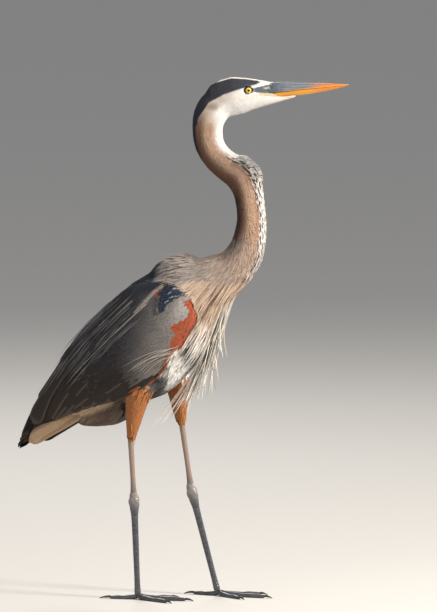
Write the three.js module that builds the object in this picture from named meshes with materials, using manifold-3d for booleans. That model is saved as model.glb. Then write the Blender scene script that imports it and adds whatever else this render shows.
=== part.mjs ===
// A great blue heron, life size, standing at rest with its neck in an S and its head turned a little to
// its left. Millimetres, +Z up, +X forward, +Y to the bird's left. The origin is on the floor, under the
// middle of the bird's box.
//
// Feathered and fleshy forms are sweeps: spheres whose rings are carried along a smooth centre line.
// They are joined, then parted with thin cuts, so that every named piece is a solid of its own.
import * as THREE from "three";
import { mergeVertices } from "three/addons/utils/BufferGeometryUtils.js";
import Module from "manifold-3d";

const wasm = await Module();
wasm.setup();

// ---- Driving dimensions -------------------------------------------------------------------------------

const GAP = 0.32; // clearance between neighbouring pieces
const HEAD_PIVOT = { x: 124, z: 925 }; // where the skull turns on the neck
const HEAD_YAW = THREE.MathUtils.degToRad(12);
const BILL_TIP = 254; // ahead of the head's pivot
const EYE = { ahead: 67.8, z: 948.6, out: 12.9, radius: 7.6 };
const HOCK_HEIGHT = { right: 190, left: 198 };
const STANCE = { right: -52, left: 50 }; // where each foot stands, to the side
const STRIDE = { right: -5, left: 117 }; // and where it stands fore and aft
const TOE_RADIUS = 4.6;

// The trunk, from the rump forward to the neck, then up the S of the neck into the back of the head.
// wide is half the width across the bird, and deep is half the depth from back to belly.
const SPINE = [
  { name: "rump", x: -168, z: 334, wide: 18, deep: 12 },
  { name: "vent", x: -118, z: 368, wide: 40, deep: 38 },
  { name: "loin", x: -72, z: 410, wide: 56, deep: 70 },
  { name: "belly", x: -21, z: 455, wide: 65, deep: 95 },
  { name: "keel", x: 28, z: 510, wide: 66, deep: 97 },
  { name: "breast", x: 77.5, z: 558.4, wide: 57, deep: 78 },
  { name: "shoulders", x: 119, z: 588.5, wide: 43, deep: 52.5 },
  { name: "neck root", x: 165, z: 616.3, wide: 33, deep: 38 },
  { name: "lower neck", x: 190, z: 650, wide: 28, deep: 34 },
  { name: "foreneck", x: 198, z: 684, wide: 25, deep: 29.5 },
  { name: "mid neck", x: 200, z: 713, wide: 23.5, deep: 27 },
  { name: "above mid", x: 196.7, z: 742, wide: 22.5, deep: 26.7 },
  { name: "kink below", x: 191.5, z: 767.5, wide: 22, deep: 29.5 },
  { name: "kink", x: 178, z: 791, wide: 22, deep: 31.5 },
  { name: "kink above", x: 152.7, z: 805.8, wide: 21, deep: 28 },
  { name: "upper neck", x: 128.5, z: 826, wide: 20, deep: 27 },
  { name: "neck bow", x: 116, z: 849, wide: 19.5, deep: 28 },
  { name: "throat", x: 113.5, z: 873, wide: 19, deep: 29 },
  { name: "nape", x: 117, z: 896, wide: 18.5, deep: 31.5 },
  { name: "occiput", x: 128, z: 914, wide: 18, deep: 32.5 },
  { name: "inside head", x: 145, z: 928, wide: 14, deep: 24 },
];

// The mantle stands up in a low hump behind the foot of the neck.
const HUMP = [
  { x: 4, z: 588, wide: 28, deep: 18 },
  { x: 39, z: 608, wide: 36, deep: 25 },
  { x: 66, z: 613, wide: 36, deep: 26 },
  { x: 92, z: 611, wide: 30, deep: 23 },
  { x: 113, z: 604, wide: 20, deep: 18 },
];

// Under-tail coverts, which hang below the rump.
const VENT_FEATHERS = [
  { x: -147, z: 321, wide: 14, deep: 8 },
  { x: -112, z: 328, wide: 22, deep: 16 },
  { x: -72, z: 338, wide: 27, deep: 21 },
  { x: -30, z: 358, wide: 28, deep: 22 },
];

// Head, in its own frame: x is ahead of the pivot and z is height above the floor.
const SKULL = [
  { x: -15, z: 921, wide: 9, deep: 20 },
  { x: 9, z: 928, wide: 17.5, deep: 33 },
  { x: 38, z: 935, wide: 20.5, deep: 37 },
  { x: 68, z: 940, wide: 20, deep: 30 },
  { x: 94, z: 942, wide: 15.5, deep: 24 },
  { x: 117, z: 946, wide: 10.5, deep: 17 },
  { x: 131, z: 950, wide: 6.5, deep: 12.5 },
];
const CHIN = [
  { x: 66, z: 921, wide: 11, deep: 10 },
  { x: 100, z: 927, wide: 9.5, deep: 7.5 },
  { x: 130, z: 933.5, wide: 7, deep: 5 },
  { x: 161, z: 939.5, wide: 3, deep: 2 },
];
const BILL = [
  { x: 84, z: 946, wide: 8.5, deep: 13 },
  { x: 110, z: 947.5, wide: 10.2, deep: 14.4 },
  { x: 136, z: 950.6, wide: 9, deep: 13 },
  { x: 166, z: 951.7, wide: 7.6, deep: 11.6 },
  { x: 192, z: 953.4, wide: 6, deep: 9.3 },
  { x: 220, z: 955.6, wide: 4.1, deep: 6 },
  { x: 240, z: 957.8, wide: 2.3, deep: 3 },
  { x: BILL_TIP, z: 959.6, wide: 0.8, deep: 0.9 },
];
const COMMISSURE = [[60, 938], [95, 942.4], [134, 945.6], [163, 949.8], [200, 953.4], [228, 956.8], [260, 959.8]];

// The folded wings' outer surface, from the tips forward to the wrists.
const WING_ENVELOPE = [
  { x: -260, z: 272, wide: 4, deep: 4 },
  { x: -242, z: 308, wide: 17, deep: 18 },
  { x: -200, z: 349, wide: 36, deep: 31 },
  { x: -132, z: 388, wide: 59, deep: 71 },
  { x: -68, z: 427, wide: 73, deep: 96 },
  { x: -7, z: 463, wide: 80, deep: 111 },
  { x: 43, z: 510, wide: 78, deep: 106 },
  { x: 80, z: 550, wide: 67, deep: 92 },
  { x: 122, z: 592, wide: 45, deep: 70 },
];
// The wing from the side: the wrist, the shoulder, clear over the back and round the tip, then the lower edge.
const WING_OUTLINE = [
  [109, 529], [103, 556], [84, 580], [48, 594], [5, 590], [-45, 578], [-120, 570], [-215, 470],
  [-290, 330], [-285, 252], [-262, 258], [-247, 286], [-226, 314], [-190, 325], [-148, 337], [-119, 348],
  [-79, 361], [-32, 379], [3, 397], [37, 424], [66, 464], [94, 500],
];
// Where the coverts end over the secondaries, and where the secondaries end over the primaries.
const COVERTS_END = [[-110, 610], [-66, 520], [-30, 450], [-6, 370]];
const SECONDARIES_END = [[-250, 420], [-214, 362], [-196, 335], [-190, 300]];
const FEATHER_SHELL = 5; // thickness of the folded quills behind the trunk

const TAIL = [
  { x: -96, z: 362, wide: 24, deep: 16 },
  { x: -150, z: 327, wide: 29, deep: 19 },
  { x: -200, z: 300, wide: 33, deep: 19 },
  { x: -236, z: 279, wide: 35, deep: 17 },
];
const TAIL_THICKNESS = 3.5;

// The breast plumes: an apron that lies on the breast, and the long loose plumes that hang from it.
const PLUME_APRON = [
  { x: 74, z: 404, wide: 16, deep: 7 },
  { x: 96, z: 440, wide: 28, deep: 13 },
  { x: 122, z: 488, wide: 35, deep: 18 },
  { x: 148, z: 540, wide: 30, deep: 17 },
  { x: 172, z: 578, wide: 18, deep: 8 },
];
const PLUME_ROOT = { x: 144, z: 528 };
const PLUME_TIPS = [
  { x: 141, z: 452, side: 5 },
  { x: 126, z: 418, side: -14 },
  { x: 111, z: 379, side: 12 },
  { x: 92, z: 372, side: -4 },
  { x: 76, z: 362, side: -22 },
  { x: 56, z: 366, side: 20 },
  { x: 22, z: 327, side: -27 },
];

// Each leg from the flesh of the thigh down: y is measured outwards from the bird's middle.
const LEGS = {
  right: {
    thigh: [
      { x: -21, y: 50, z: 290, wide: 7, deep: 7.5 },
      { x: -16, y: 49, z: 322, wide: 12, deep: 15 },
      { x: -10, y: 46, z: 366, wide: 19, deep: 23.5 },
      { x: 0, y: 40, z: 410, wide: 22, deep: 28 },
    ],
    shin: [
      { x: -13, y: 51.5, z: 188, wide: 5, deep: 7 },
      { x: -16.5, y: 51.2, z: 220, wide: 4.8, deep: 5.6 },
      { x: -19, y: 50.6, z: 262, wide: 4.9, deep: 5.8 },
      { x: -20.5, y: 50, z: 306, wide: 5.4, deep: 6.2 },
    ],
  },
  left: {
    thigh: [
      { x: 42, y: 49, z: 316, wide: 7, deep: 7.5 },
      { x: 41, y: 48, z: 340, wide: 12, deep: 15 },
      { x: 39, y: 46, z: 380, wide: 19, deep: 23.5 },
      { x: 32, y: 40, z: 430, wide: 22, deep: 28 },
    ],
    shin: [
      { x: 62.5, y: 50, z: 196, wide: 5, deep: 7 },
      { x: 56, y: 49.9, z: 234, wide: 4.8, deep: 5.6 },
      { x: 48, y: 49.4, z: 284, wide: 4.9, deep: 5.8 },
      { x: 42.5, y: 49, z: 332, wide: 5.4, deep: 6.2 },
    ],
  },
};
// Toes: length to the claw's root, the claw's own length, and the angle outwards from straight ahead.
const TOES = {
  inner: { length: 66, nail: 15, splay: -34, radius: 0.95 },
  middle: { length: 92, nail: 16, splay: -3, radius: 1.06 },
  outer: { length: 78, nail: 14, splay: 27, radius: 1 },
  hind: { length: 53, nail: 20, splay: 172, radius: 0.95 },
};

const COLOURS = {
  face: 0xe9e2d8, neck: 0x9c8270, body: 0x6f6d72, wing: 0x4c4b55, quill: 0x2b2927, tail: 0xb39a72,
  plume: 0xd9d2c8, thigh: 0xb06a33, shin: 0x9d8d80, tarsus: 0x3b3835, claw: 0x1c1a18, bill: 0x6b7078,
  mandible: 0xe8981e, iris: 0xf0c018,
};

// ---- Shaping ------------------------------------------------------------------------------------------

// A closed solid from a geometry whose shared vertices are merged.
function solid(geometry) {
  geometry.deleteAttribute("normal");
  geometry.deleteAttribute("uv");
  const merged = mergeVertices(geometry, 1e-3);
  return new wasm.Manifold(
    new wasm.Mesh({
      numProp: 3,
      vertProperties: merged.attributes.position.array,
      triVerts: new Uint32Array(merged.index.array),
    }),
  );
}

// A sphere whose rings are carried along a smooth line through the stations, with each ring stretched to
// the station's width and depth. grow swells it on every side, and round is the share of its length that
// each end takes to close.
function sweep(stations, { around = 16, steps = 3 * stations.length, grow = 0, round = 0.06 } = {}) {
  const line = new THREE.CatmullRomCurve3(stations.map((s) => new THREE.Vector3(s.x, s.y ?? 0, s.z)));
  const sizes = new THREE.CatmullRomCurve3(stations.map((s) => new THREE.Vector3(s.wide, s.deep, 0)));
  const geometry = new THREE.SphereGeometry(1, around, steps);
  const place = geometry.attributes.position;
  const unit = new THREE.Vector3();
  for (let i = 0; i < place.count; i++) {
    unit.fromBufferAttribute(place, i);
    const share = Math.acos(THREE.MathUtils.clamp(unit.y, -1, 1)) / Math.PI;
    const t = share - (0.5 * Math.sin(2 * Math.PI * share)) / (2 * Math.PI);
    const ring = Math.hypot(unit.x, unit.z) || 1;
    const fromEnd = Math.min(t, 1 - t) / round;
    const close = fromEnd < 1 ? Math.sqrt(fromEnd * (2 - fromEnd)) : 1;
    const along = line.getTangent(t);
    const across = new THREE.Vector3(0, 1, 0).addScaledVector(along, -along.y).normalize();
    const up = new THREE.Vector3().crossVectors(along, across);
    const size = sizes.getPoint(t);
    const point = line.getPoint(t).addScaledVector(along, grow * (2 * t - 1) * (fromEnd < 1 ? 1 : 0));
    point.addScaledVector(across, (unit.x / ring) * (size.x + grow) * close);
    point.addScaledVector(up, (unit.z / ring) * (size.y + grow) * close);
    place.setXYZ(i, point.x, point.y, point.z);
  }
  return solid(geometry);
}

// A shape drawn in the bird's side view, cut through it from side to side between two distances.
function sideCut(shape, from, to) {
  const geometry = new THREE.ExtrudeGeometry(shape, { depth: to - from, bevelEnabled: false, curveSegments: 3 });
  geometry.rotateX(Math.PI / 2);
  geometry.translate(0, to, 0);
  return solid(geometry);
}

// A thin ribbon along a line in the side view, which parts what it crosses.
function ribbon(points, from, to) {
  const line = new THREE.SplineCurve(points.map(([x, z]) => new THREE.Vector2(x, z)));
  const along = line.getPoints(2 * points.length);
  const shape = new THREE.Shape();
  along.forEach((p) => shape.lineTo(p.x, p.y + GAP / 2));
  along.reverse().forEach((p) => shape.lineTo(p.x, p.y - GAP / 2));
  return sideCut(new THREE.Shape(shape.getPoints().slice(1)), from, to);
}

// A thin disc across the spine at a place between two stations, counted from the rump.
function discAcross(place, radius) {
  const line = new THREE.CatmullRomCurve3(SPINE.map((s) => new THREE.Vector3(s.x, 0, s.z)));
  const t = place / (SPINE.length - 1);
  const turn = new THREE.Quaternion().setFromUnitVectors(new THREE.Vector3(0, 1, 0), line.getTangent(t));
  const disc = new THREE.CylinderGeometry(radius, radius, GAP, 16).applyQuaternion(turn);
  return solid(disc.translate(...line.getPoint(t)));
}

function ball({ x, y, z }, radius, detail = 10) {
  return solid(new THREE.SphereGeometry(radius, detail, detail / 2).rotateX(Math.PI / 2).translate(x, y, z));
}

function box(low, high) {
  const size = high.map((h, k) => h - low[k]);
  const middle = high.map((h, k) => (h + low[k]) / 2);
  return solid(new THREE.BoxGeometry(...size).translate(...middle));
}

const joined = (first, ...rest) => rest.reduce((whole, piece) => whole.add(piece), first);
const less = (first, ...rest) => rest.reduce((whole, piece) => whole.subtract(piece), first);
const largest = (whole) => whole.decompose().sort((a, b) => b.volume() - a.volume())[0];
const centreOf = (piece) => {
  const { min, max } = piece.boundingBox();
  return { x: (min[0] + max[0]) / 2, z: (min[2] + max[2]) / 2 };
};
// The two largest pieces of a parted solid, the one that is further along an axis first.
const halves = (whole, axis) =>
  whole.decompose().sort((a, b) => b.volume() - a.volume()).slice(0, 2)
    .sort((a, b) => centreOf(b)[axis] - centreOf(a)[axis]);

// From the head's own frame to the bird's.
const turnHead = (piece) =>
  piece.rotate(0, 0, THREE.MathUtils.radToDeg(HEAD_YAW)).translate(HEAD_PIVOT.x, 0, 0);

const root = new THREE.Group();

function add(name, piece, colour, { roughness = 0.8, metalness = 0 } = {}) {
  const { numProp, vertProperties, triVerts } = piece.getMesh();
  const geometry = new THREE.BufferGeometry();
  const places = Array.from({ length: vertProperties.length / numProp }, (_, i) => [
    ...vertProperties.subarray(i * numProp, i * numProp + 3),
  ]);
  geometry.setAttribute("position", new THREE.Float32BufferAttribute(places.flat(), 3));
  geometry.setIndex(Array.from(triVerts));
  const mesh = new THREE.Mesh(geometry, new THREE.MeshStandardMaterial({ color: colour, roughness, metalness }));
  mesh.name = name;
  root.add(mesh);
  return piece;
}

// ---- Head, neck and trunk -----------------------------------------------------------------------------

const bill = (grow) => turnHead(sweep(BILL, { around: 10, steps: 11, grow, round: 0.03 }));
const eyeOf = (side, grow) =>
  turnHead(ball({ x: EYE.ahead, y: side * EYE.out, z: EYE.z }, EYE.radius + grow));

function body(grow) {
  return joined(
    sweep(SPINE, { around: 14, steps: 42, grow, round: 0.02 }),
    sweep(HUMP, { around: 12, steps: 8, grow, round: 0.15 }),
    sweep(VENT_FEATHERS, { around: 8, steps: 5, grow, round: 0.2 }),
    turnHead(sweep(SKULL, { around: 12, steps: 10, grow, round: 0.12 })),
    turnHead(sweep(CHIN, { around: 8, steps: 7, grow, round: 0.1 })),
  );
}

const bodyClear = body(GAP);

function addBody() {
  const cuts = [
    discAcross(18.35, 44), // behind the jaw
    discAcross(14.4, 40), // above the kink
    discAcross(10, 40), // half way down the neck
    discAcross(6.55, 78), // at the neck's root
  ];
  const whole = less(body(0), bill(GAP), eyeOf(1, GAP), eyeOf(-1, GAP), ...cuts);
  const pieces = whole.decompose().filter((p) => p.volume() > 1000).sort((a, b) => centreOf(b).z - centreOf(a).z);
  const names = ["head", "neck_upper", "neck_middle", "neck_lower", "trunk"];
  const colours = [COLOURS.face, COLOURS.neck, COLOURS.neck, COLOURS.neck, COLOURS.body];
  if (pieces.length !== names.length) throw new Error("the body parted into " + pieces.length + " pieces");
  pieces.forEach((piece, i) => add(names[i], piece, colours[i]));
}

function addBillAndEyes() {
  const parting = turnHead(ribbon(COMMISSURE, -16, 16));
  const [upper, lower] = halves(bill(0).subtract(parting), "z");
  add("bill_upper", upper, COLOURS.bill, { roughness: 0.45 });
  add("bill_lower", lower, COLOURS.mandible, { roughness: 0.45 });
  add("eye_left", eyeOf(1, 0), COLOURS.iris, { roughness: 0.1 });
  add("eye_right", eyeOf(-1, 0), COLOURS.iris, { roughness: 0.1 });
}

// ---- Wings, tail and breast plumes --------------------------------------------------------------------

const MIDLINE = GAP / 2;

// A folded wing: what its outline takes of the envelope, outside the trunk. Behind the trunk the quills
// are a shell with a hollow under it.
function foldedWing(side, grow) {
  const outline = new THREE.Shape(
    new THREE.SplineCurve(WING_OUTLINE.map(([x, z]) => new THREE.Vector2(x, z))).getPoints(40),
  );
  const [from, to] = side > 0 ? [MIDLINE - grow, 120] : [-120, grow - MIDLINE];
  const inner = WING_ENVELOPE.map((s) => ({
    ...s,
    wide: Math.max(s.wide - FEATHER_SHELL, 1),
    deep: Math.max(s.deep - FEATHER_SHELL, 1),
  })).slice(1, -1);
  const shell = less(
    sweep(WING_ENVELOPE, { around: 20, steps: 16, grow, round: 0.04 }),
    sweep(inner, { around: 12, steps: 9, grow: -grow, round: 0.2 }),
  );
  return shell.intersect(sideCut(outline, from, to));
}

const wingsClear = joined(foldedWing(1, GAP), foldedWing(-1, GAP));

function addWing(side, label) {
  const span = side > 0 ? [0, 120] : [-120, 0];
  const whole = largest(less(foldedWing(side, 0), bodyClear));
  const [coverts, quills] = halves(whole.subtract(ribbon(COVERTS_END, ...span)), "x");
  const [secondaries, primaries] = halves(quills.subtract(ribbon(SECONDARIES_END, ...span)), "x");
  add("wing_" + label + "_coverts", coverts, COLOURS.wing);
  add("wing_" + label + "_secondaries", secondaries, COLOURS.wing);
  add("wing_" + label + "_primaries", primaries, COLOURS.quill);
}

// The tail is an arched fan, open below and behind.
function addTail() {
  const fan = sweep(TAIL, { around: 10, steps: 5, round: 0.03 });
  const hollow = TAIL.map((s) => ({ ...s, x: s.x - 4, z: s.z - TAIL_THICKNESS, wide: s.wide - TAIL_THICKNESS }));
  const beyond = { ...hollow.at(-1), x: -262, z: 264 };
  const arch = less(fan, sweep([...hollow, beyond], { around: 8, steps: 5, round: 0.03 }));
  add("tail", largest(less(arch, bodyClear, wingsClear)), COLOURS.tail);
}

function addPlumes() {
  const plumes = PLUME_TIPS.map((tip) => {
    const share = (s) => ({
      x: THREE.MathUtils.lerp(PLUME_ROOT.x, tip.x, s) + 7 * Math.sin(Math.PI * s),
      y: tip.side * Math.sqrt(s),
      z: THREE.MathUtils.lerp(PLUME_ROOT.z, tip.z, s),
    });
    const stations = [
      { ...share(0), wide: 7, deep: 5 },
      { ...share(0.5), wide: 6, deep: 3.6 },
      { ...share(0.8), wide: 3.6, deep: 2 },
      { ...share(1), wide: 1, deep: 0.8 },
    ];
    return sweep(stations, { around: 6, steps: 5, round: 0.05 });
  });
  const apron = sweep(PLUME_APRON, { around: 10, steps: 6, round: 0.1 });
  add("breast_plumes", largest(less(joined(apron, ...plumes), bodyClear, wingsClear)), COLOURS.plume);
}

// ---- Legs ---------------------------------------------------------------------------------------------

const aboveFloor = (piece) => piece.subtract(box([-400, -200, -60], [400, 200, 0]));
const sided = (stations, side) => stations.map((s) => ({ ...s, y: side * s.y }));

// The tarsus stands on the foot and swells at the hock, which carries the shin.
function tarsusStations(label, side, grow) {
  const foot = { x: STRIDE[label], y: STANCE[label] };
  const hock = sided(LEGS[label].shin, side)[0];
  const between = (s, wide, deep) => ({
    x: THREE.MathUtils.lerp(foot.x, hock.x, s),
    y: THREE.MathUtils.lerp(foot.y, hock.y, s),
    z: HOCK_HEIGHT[label] * s,
    wide,
    deep,
  });
  return sweep(
    [
      between(0.035, 7.4, 7.6),
      between(0.09, 6.2, 6.4),
      between(0.2, 4.9, 6),
      between(0.5, 4.8, 6.6),
      between(0.8, 5.2, 7.6),
      between(0.9, 6.6, 9.2),
      between(0.98, 7, 9.8),
      between(1.05, 5.6, 7.4),
    ],
    { around: 9, steps: 13, grow, round: 0.06 },
  );
}

function toe(label, side, { length, splay, radius }, grow) {
  const turn = THREE.MathUtils.degToRad(side * splay);
  const size = TOE_RADIUS * radius;
  const at = (s, z, wide, deep) => ({
    x: STRIDE[label] + Math.cos(turn) * length * s,
    y: STANCE[label] + Math.sin(turn) * length * s,
    z: z * size,
    wide: wide * size,
    deep: deep * size,
  });
  return aboveFloor(
    sweep(
      [at(0, 1.6, 1.1, 1.1), at(0.14, 1.1, 1, 1.05), at(0.4, 0.72, 1.05, 1.05), at(0.55, 0.62, 0.86, 0.9),
        at(0.72, 0.68, 0.98, 0.98), at(0.88, 0.6, 0.78, 0.84), at(1, 0.6, 0.66, 0.74)],
      { around: 8, steps: 7, grow, round: 0.06 },
    ),
  );
}

// A claw curves down from the toe's end until its tip rests on the floor.
function claw(label, side, digit) {
  const { length, nail, splay } = digit;
  const turn = THREE.MathUtils.degToRad(side * splay);
  const at = (beyond, z, size) => ({
    x: STRIDE[label] + Math.cos(turn) * (length + beyond),
    y: STANCE[label] + Math.sin(turn) * (length + beyond),
    z,
    wide: 0.8 * size,
    deep: size,
  });
  const stations = [at(-4, 3.4, 2.1), at(3, 4.2, 2.2), at(0.6 * nail, 3, 1.5), at(nail, 0.4, 0.7)];
  return aboveFloor(sweep(stations, { around: 6, steps: 5, round: 0.06 })).subtract(toe(label, side, digit, GAP));
}

function addLeg(label, side) {
  const { thigh, shin } = LEGS[label];
  const thighWhole = sweep(sided(thigh, side), { around: 12, steps: 8, round: 0.06 });
  const shinOf = (grow) => sweep(sided(shin, side), { around: 8, steps: 7, grow, round: 0.04 });
  const tarsus = (grow) => aboveFloor(tarsusStations(label, side, grow));
  const thighPiece = largest(less(thighWhole, bodyClear, wingsClear, shinOf(GAP)));
  add("thigh_" + label, thighPiece, COLOURS.thigh);
  add("shin_" + label, largest(less(shinOf(0), tarsus(GAP), bodyClear, wingsClear)), COLOURS.shin);
  add("tarsus_" + label, largest(tarsus(0)), COLOURS.tarsus, { roughness: 0.6 });
  const placed = [tarsus(GAP)];
  for (const [name, digit] of Object.entries(TOES)) {
    const piece = largest(less(toe(label, side, digit, 0), ...placed));
    placed.push(toe(label, side, digit, GAP));
    add("toe_" + label + "_" + name, piece, COLOURS.tarsus, { roughness: 0.6 });
    add("claw_" + label + "_" + name, largest(claw(label, side, digit)), COLOURS.claw, { roughness: 0.4 });
  }
}

// ---- The whole bird -----------------------------------------------------------------------------------

addBody();
addBillAndEyes();
addWing(-1, "right");
addWing(1, "left");
addTail();
addPlumes();
addLeg("right", -1);
addLeg("left", 1);

const middle = new THREE.Box3().setFromObject(root, true).getCenter(new THREE.Vector3());
root.position.set(-middle.x, -middle.y, 0);

export default root;
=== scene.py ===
"""A great blue heron, life size: one skin under its feathers, with horn, scales and eyes of their own.

Shapes are worked out in the bird's own millimetres, +X ahead, +Y to its left and +Z up, and turned into
the frame's metres when a mesh is made. Small feathers are laid over the form of the body: each starts at
a root, follows the surface the way the plumage lies, and ends just above the feathers behind it.
"""
import math

import bmesh
import bpy
import numpy as np
from mathutils import Matrix, Vector
from mathutils.bvhtree import BVHTree


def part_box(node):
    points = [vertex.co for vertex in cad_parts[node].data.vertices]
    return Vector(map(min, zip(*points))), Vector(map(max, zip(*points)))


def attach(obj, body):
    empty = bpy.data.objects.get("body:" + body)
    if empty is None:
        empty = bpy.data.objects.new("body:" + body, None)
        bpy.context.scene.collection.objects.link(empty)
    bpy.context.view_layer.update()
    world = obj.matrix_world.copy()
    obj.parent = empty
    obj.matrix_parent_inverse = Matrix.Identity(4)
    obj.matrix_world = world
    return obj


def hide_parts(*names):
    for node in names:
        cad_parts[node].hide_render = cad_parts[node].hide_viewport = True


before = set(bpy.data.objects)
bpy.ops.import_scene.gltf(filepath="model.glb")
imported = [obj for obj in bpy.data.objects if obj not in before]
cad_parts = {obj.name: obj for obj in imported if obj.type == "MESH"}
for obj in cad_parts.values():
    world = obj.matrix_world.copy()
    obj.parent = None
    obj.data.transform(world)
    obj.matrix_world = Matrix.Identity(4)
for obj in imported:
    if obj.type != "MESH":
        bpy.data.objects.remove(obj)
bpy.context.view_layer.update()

# ---- Measures -------------------------------------------------------------------------------------------

MM = 0.001
HEAD_PIVOT_X = 124.0
HEAD_YAW = math.radians(12)
HEAD_COS, HEAD_SIN = math.cos(HEAD_YAW), math.sin(HEAD_YAW)
EYE_AHEAD, EYE_OUT, EYE_HEIGHT, EYE_RADIUS = 67.8, 12.9, 948.6, 7.6
EYE_RIM_WIDTH = 1.6
SIDES = {"right": -1, "left": 1}

# The middle of the body from the tail forward, up the neck and out along the head: x, z.
MIDLINE = [
    ("tail", -236, 300), ("rump", -168, 334), ("vent", -118, 368), ("loin", -72, 410), ("belly", -21, 455),
    ("keel", 28, 510), ("breast", 77.5, 558.4), ("shoulders", 119, 588.5), ("neck root", 165, 616.3),
    ("lower neck", 190, 650), ("foreneck", 198, 684), ("mid neck", 200, 713), ("above mid", 196.7, 742),
    ("kink below", 191.5, 767.5), ("kink", 178, 791), ("kink above", 152.7, 805.8),
    ("upper neck", 128.5, 826), ("neck bow", 116, 849), ("throat", 113.5, 873), ("nape", 117, 896),
    ("occiput", 132, 924), ("crown", 162, 936), ("brow", 195, 942), ("bill root", 236, 947),
]

WING_LIE = np.array([-0.82, -0.572])  # the way the wing's feathers lie in the side view: x, z

# Stations of the bill in the head's frame: ahead of the pivot, height, half width, half depth.
BILL = [
    (86, 946, 8.5, 13.0), (110, 947.5, 10.2, 14.4), (136, 950.6, 9.0, 13.0), (166, 951.7, 7.6, 11.6),
    (192, 953.4, 6.0, 9.3), (220, 955.6, 4.1, 6.0), (240, 957.8, 2.3, 3.0), (254, 959.6, 0.5, 0.6),
]
GAPE = [(60, 938.0), (95, 942.4), (134, 945.6), (163, 949.8), (200, 953.4), (228, 956.8), (260, 959.8)]

HOCK = {"right": (-13, 51.5, 190), "left": (62.5, 50, 198)}
FOOT = {"right": (-5, 52), "left": (117, 50)}
SHIN_TOP = {"right": (-20.5, 50, 306), "left": (42.5, 49, 332)}
TOES = {
    "inner": {"length": 66, "nail": 15, "splay": -34, "girth": 0.95},
    "middle": {"length": 92, "nail": 16, "splay": -3, "girth": 1.06},
    "outer": {"length": 78, "nail": 14, "splay": 27, "girth": 1.0},
    "hind": {"length": 53, "nail": 20, "splay": 172, "girth": 0.95},
}
TOE_RADIUS = 4.6

# How deep the plumage is over the skin, in millimetres.
COAT = {"head": 1.6, "neck": 3.2, "trunk": 5.0, "thigh": 4.6, "wing": 2.0}


def eye_middle(side):
    low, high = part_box("eye_" + side)
    return np.array((low + high) / 2)


BIRD = (eye_middle("left") + eye_middle("right")) / 2 - MM * np.array(
    [HEAD_PIVOT_X + EYE_AHEAD * HEAD_COS, EYE_AHEAD * HEAD_SIN, EYE_HEIGHT]
)


def in_frame(points):
    return BIRD + MM * np.asarray(points, float)


def in_bird(points):
    return (np.asarray(points, float) - BIRD) / MM


def from_head(points):
    """From the head's own frame, whose x is ahead of the pivot, to the bird's."""
    x, y, z = np.moveaxis(np.asarray(points, float), -1, 0)
    return np.stack([HEAD_PIVOT_X + HEAD_COS * x - HEAD_SIN * y, HEAD_SIN * x + HEAD_COS * y, z], -1)


def to_head(points):
    """From the bird's frame to the head's own."""
    x, y, z = np.moveaxis(np.asarray(points, float), -1, 0)
    x = x - HEAD_PIVOT_X
    return np.stack([HEAD_COS * x + HEAD_SIN * y, -HEAD_SIN * x + HEAD_COS * y, z], -1)


def unit(v):
    return v / np.maximum(np.linalg.norm(v, axis=-1, keepdims=True), 1e-9)


def flat_on(v, up):
    return unit(v - up * (v * up).sum(-1, keepdims=True))


def ease(x, low, high):
    t = np.clip((x - low) / (high - low), 0, 1)
    return t * t * (3 - 2 * t)


def within(x, low, high, soft):
    return ease(x, low - soft, low + soft) * (1 - ease(x, high - soft, high + soft))


def toward(base, colour, share):
    """The base colours, each moved by its share of the way to another."""
    return base + (colour - base) * share[:, None]


def upright(flat, y=0.0):
    """Points of the side view, x and z, given a place across."""
    return np.stack([flat[..., 0], np.full(flat.shape[:-1], y), flat[..., 1]], -1)


def ink(code):
    """A colour in linear light from its usual six-letter code."""
    s = np.array([int(code[i : i + 2], 16) for i in (0, 2, 4)]) / 255
    return np.where(s <= 0.04045, s / 12.92, ((s + 0.055) / 1.055) ** 2.4)


def smooth_line(points, count):
    """Evenly spaced points on a Catmull-Rom curve through the given ones."""
    p = np.asarray(points, float)
    ends = np.vstack([2 * p[0] - p[1], p, 2 * p[-1] - p[-2]])
    t = np.linspace(0, len(p) - 1, 40 * len(p))
    i = np.minimum(t.astype(int), len(p) - 2)
    f = (t - i)[:, None]
    a, b, c, d = ends[i], ends[i + 1], ends[i + 2], ends[i + 3]
    q = 0.5 * (2 * b + (c - a) * f + (2 * a - 5 * b + 4 * c - d) * f**2 + (3 * b - a - 3 * c + d) * f**3)
    run = np.concatenate([[0], np.cumsum(np.linalg.norm(np.diff(q, axis=0), axis=1))])
    even = np.linspace(0, run[-1], count)
    return np.stack([np.interp(even, run, q[:, k]) for k in range(q.shape[1])], -1)


# ---- The guide along the body ---------------------------------------------------------------------------

GUIDE_STEPS = 700
POINTS_AT_ONCE = 4000


def turned_midline():
    """The midline with its last stretch turned with the head."""
    line = np.array([(x, 0.0, z) for _, x, z in MIDLINE])
    ahead = np.maximum(line[:, 0] - HEAD_PIVOT_X, 0)
    on_head = np.array([name in ("occiput", "crown", "brow", "bill root") for name, _, _ in MIDLINE])
    line[on_head, 0] = HEAD_PIVOT_X + ahead[on_head] * HEAD_COS
    line[on_head, 1] = ahead[on_head] * HEAD_SIN
    return line


guide = smooth_line(turned_midline(), GUIDE_STEPS)
guide_run = np.concatenate([[0], np.cumsum(np.linalg.norm(np.diff(guide, axis=0), axis=1))])
guide_ahead = unit(np.gradient(guide, axis=0))
guide_left = flat_on(np.broadcast_to([0.0, 1.0, 0.0], guide.shape), guide_ahead)
guide_up = np.cross(guide_ahead, guide_left)
PLACE = {
    name: guide_run[np.linalg.norm(guide - point, axis=1).argmin()]
    for (name, _, _), point in zip(MIDLINE, turned_midline())
}


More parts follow.
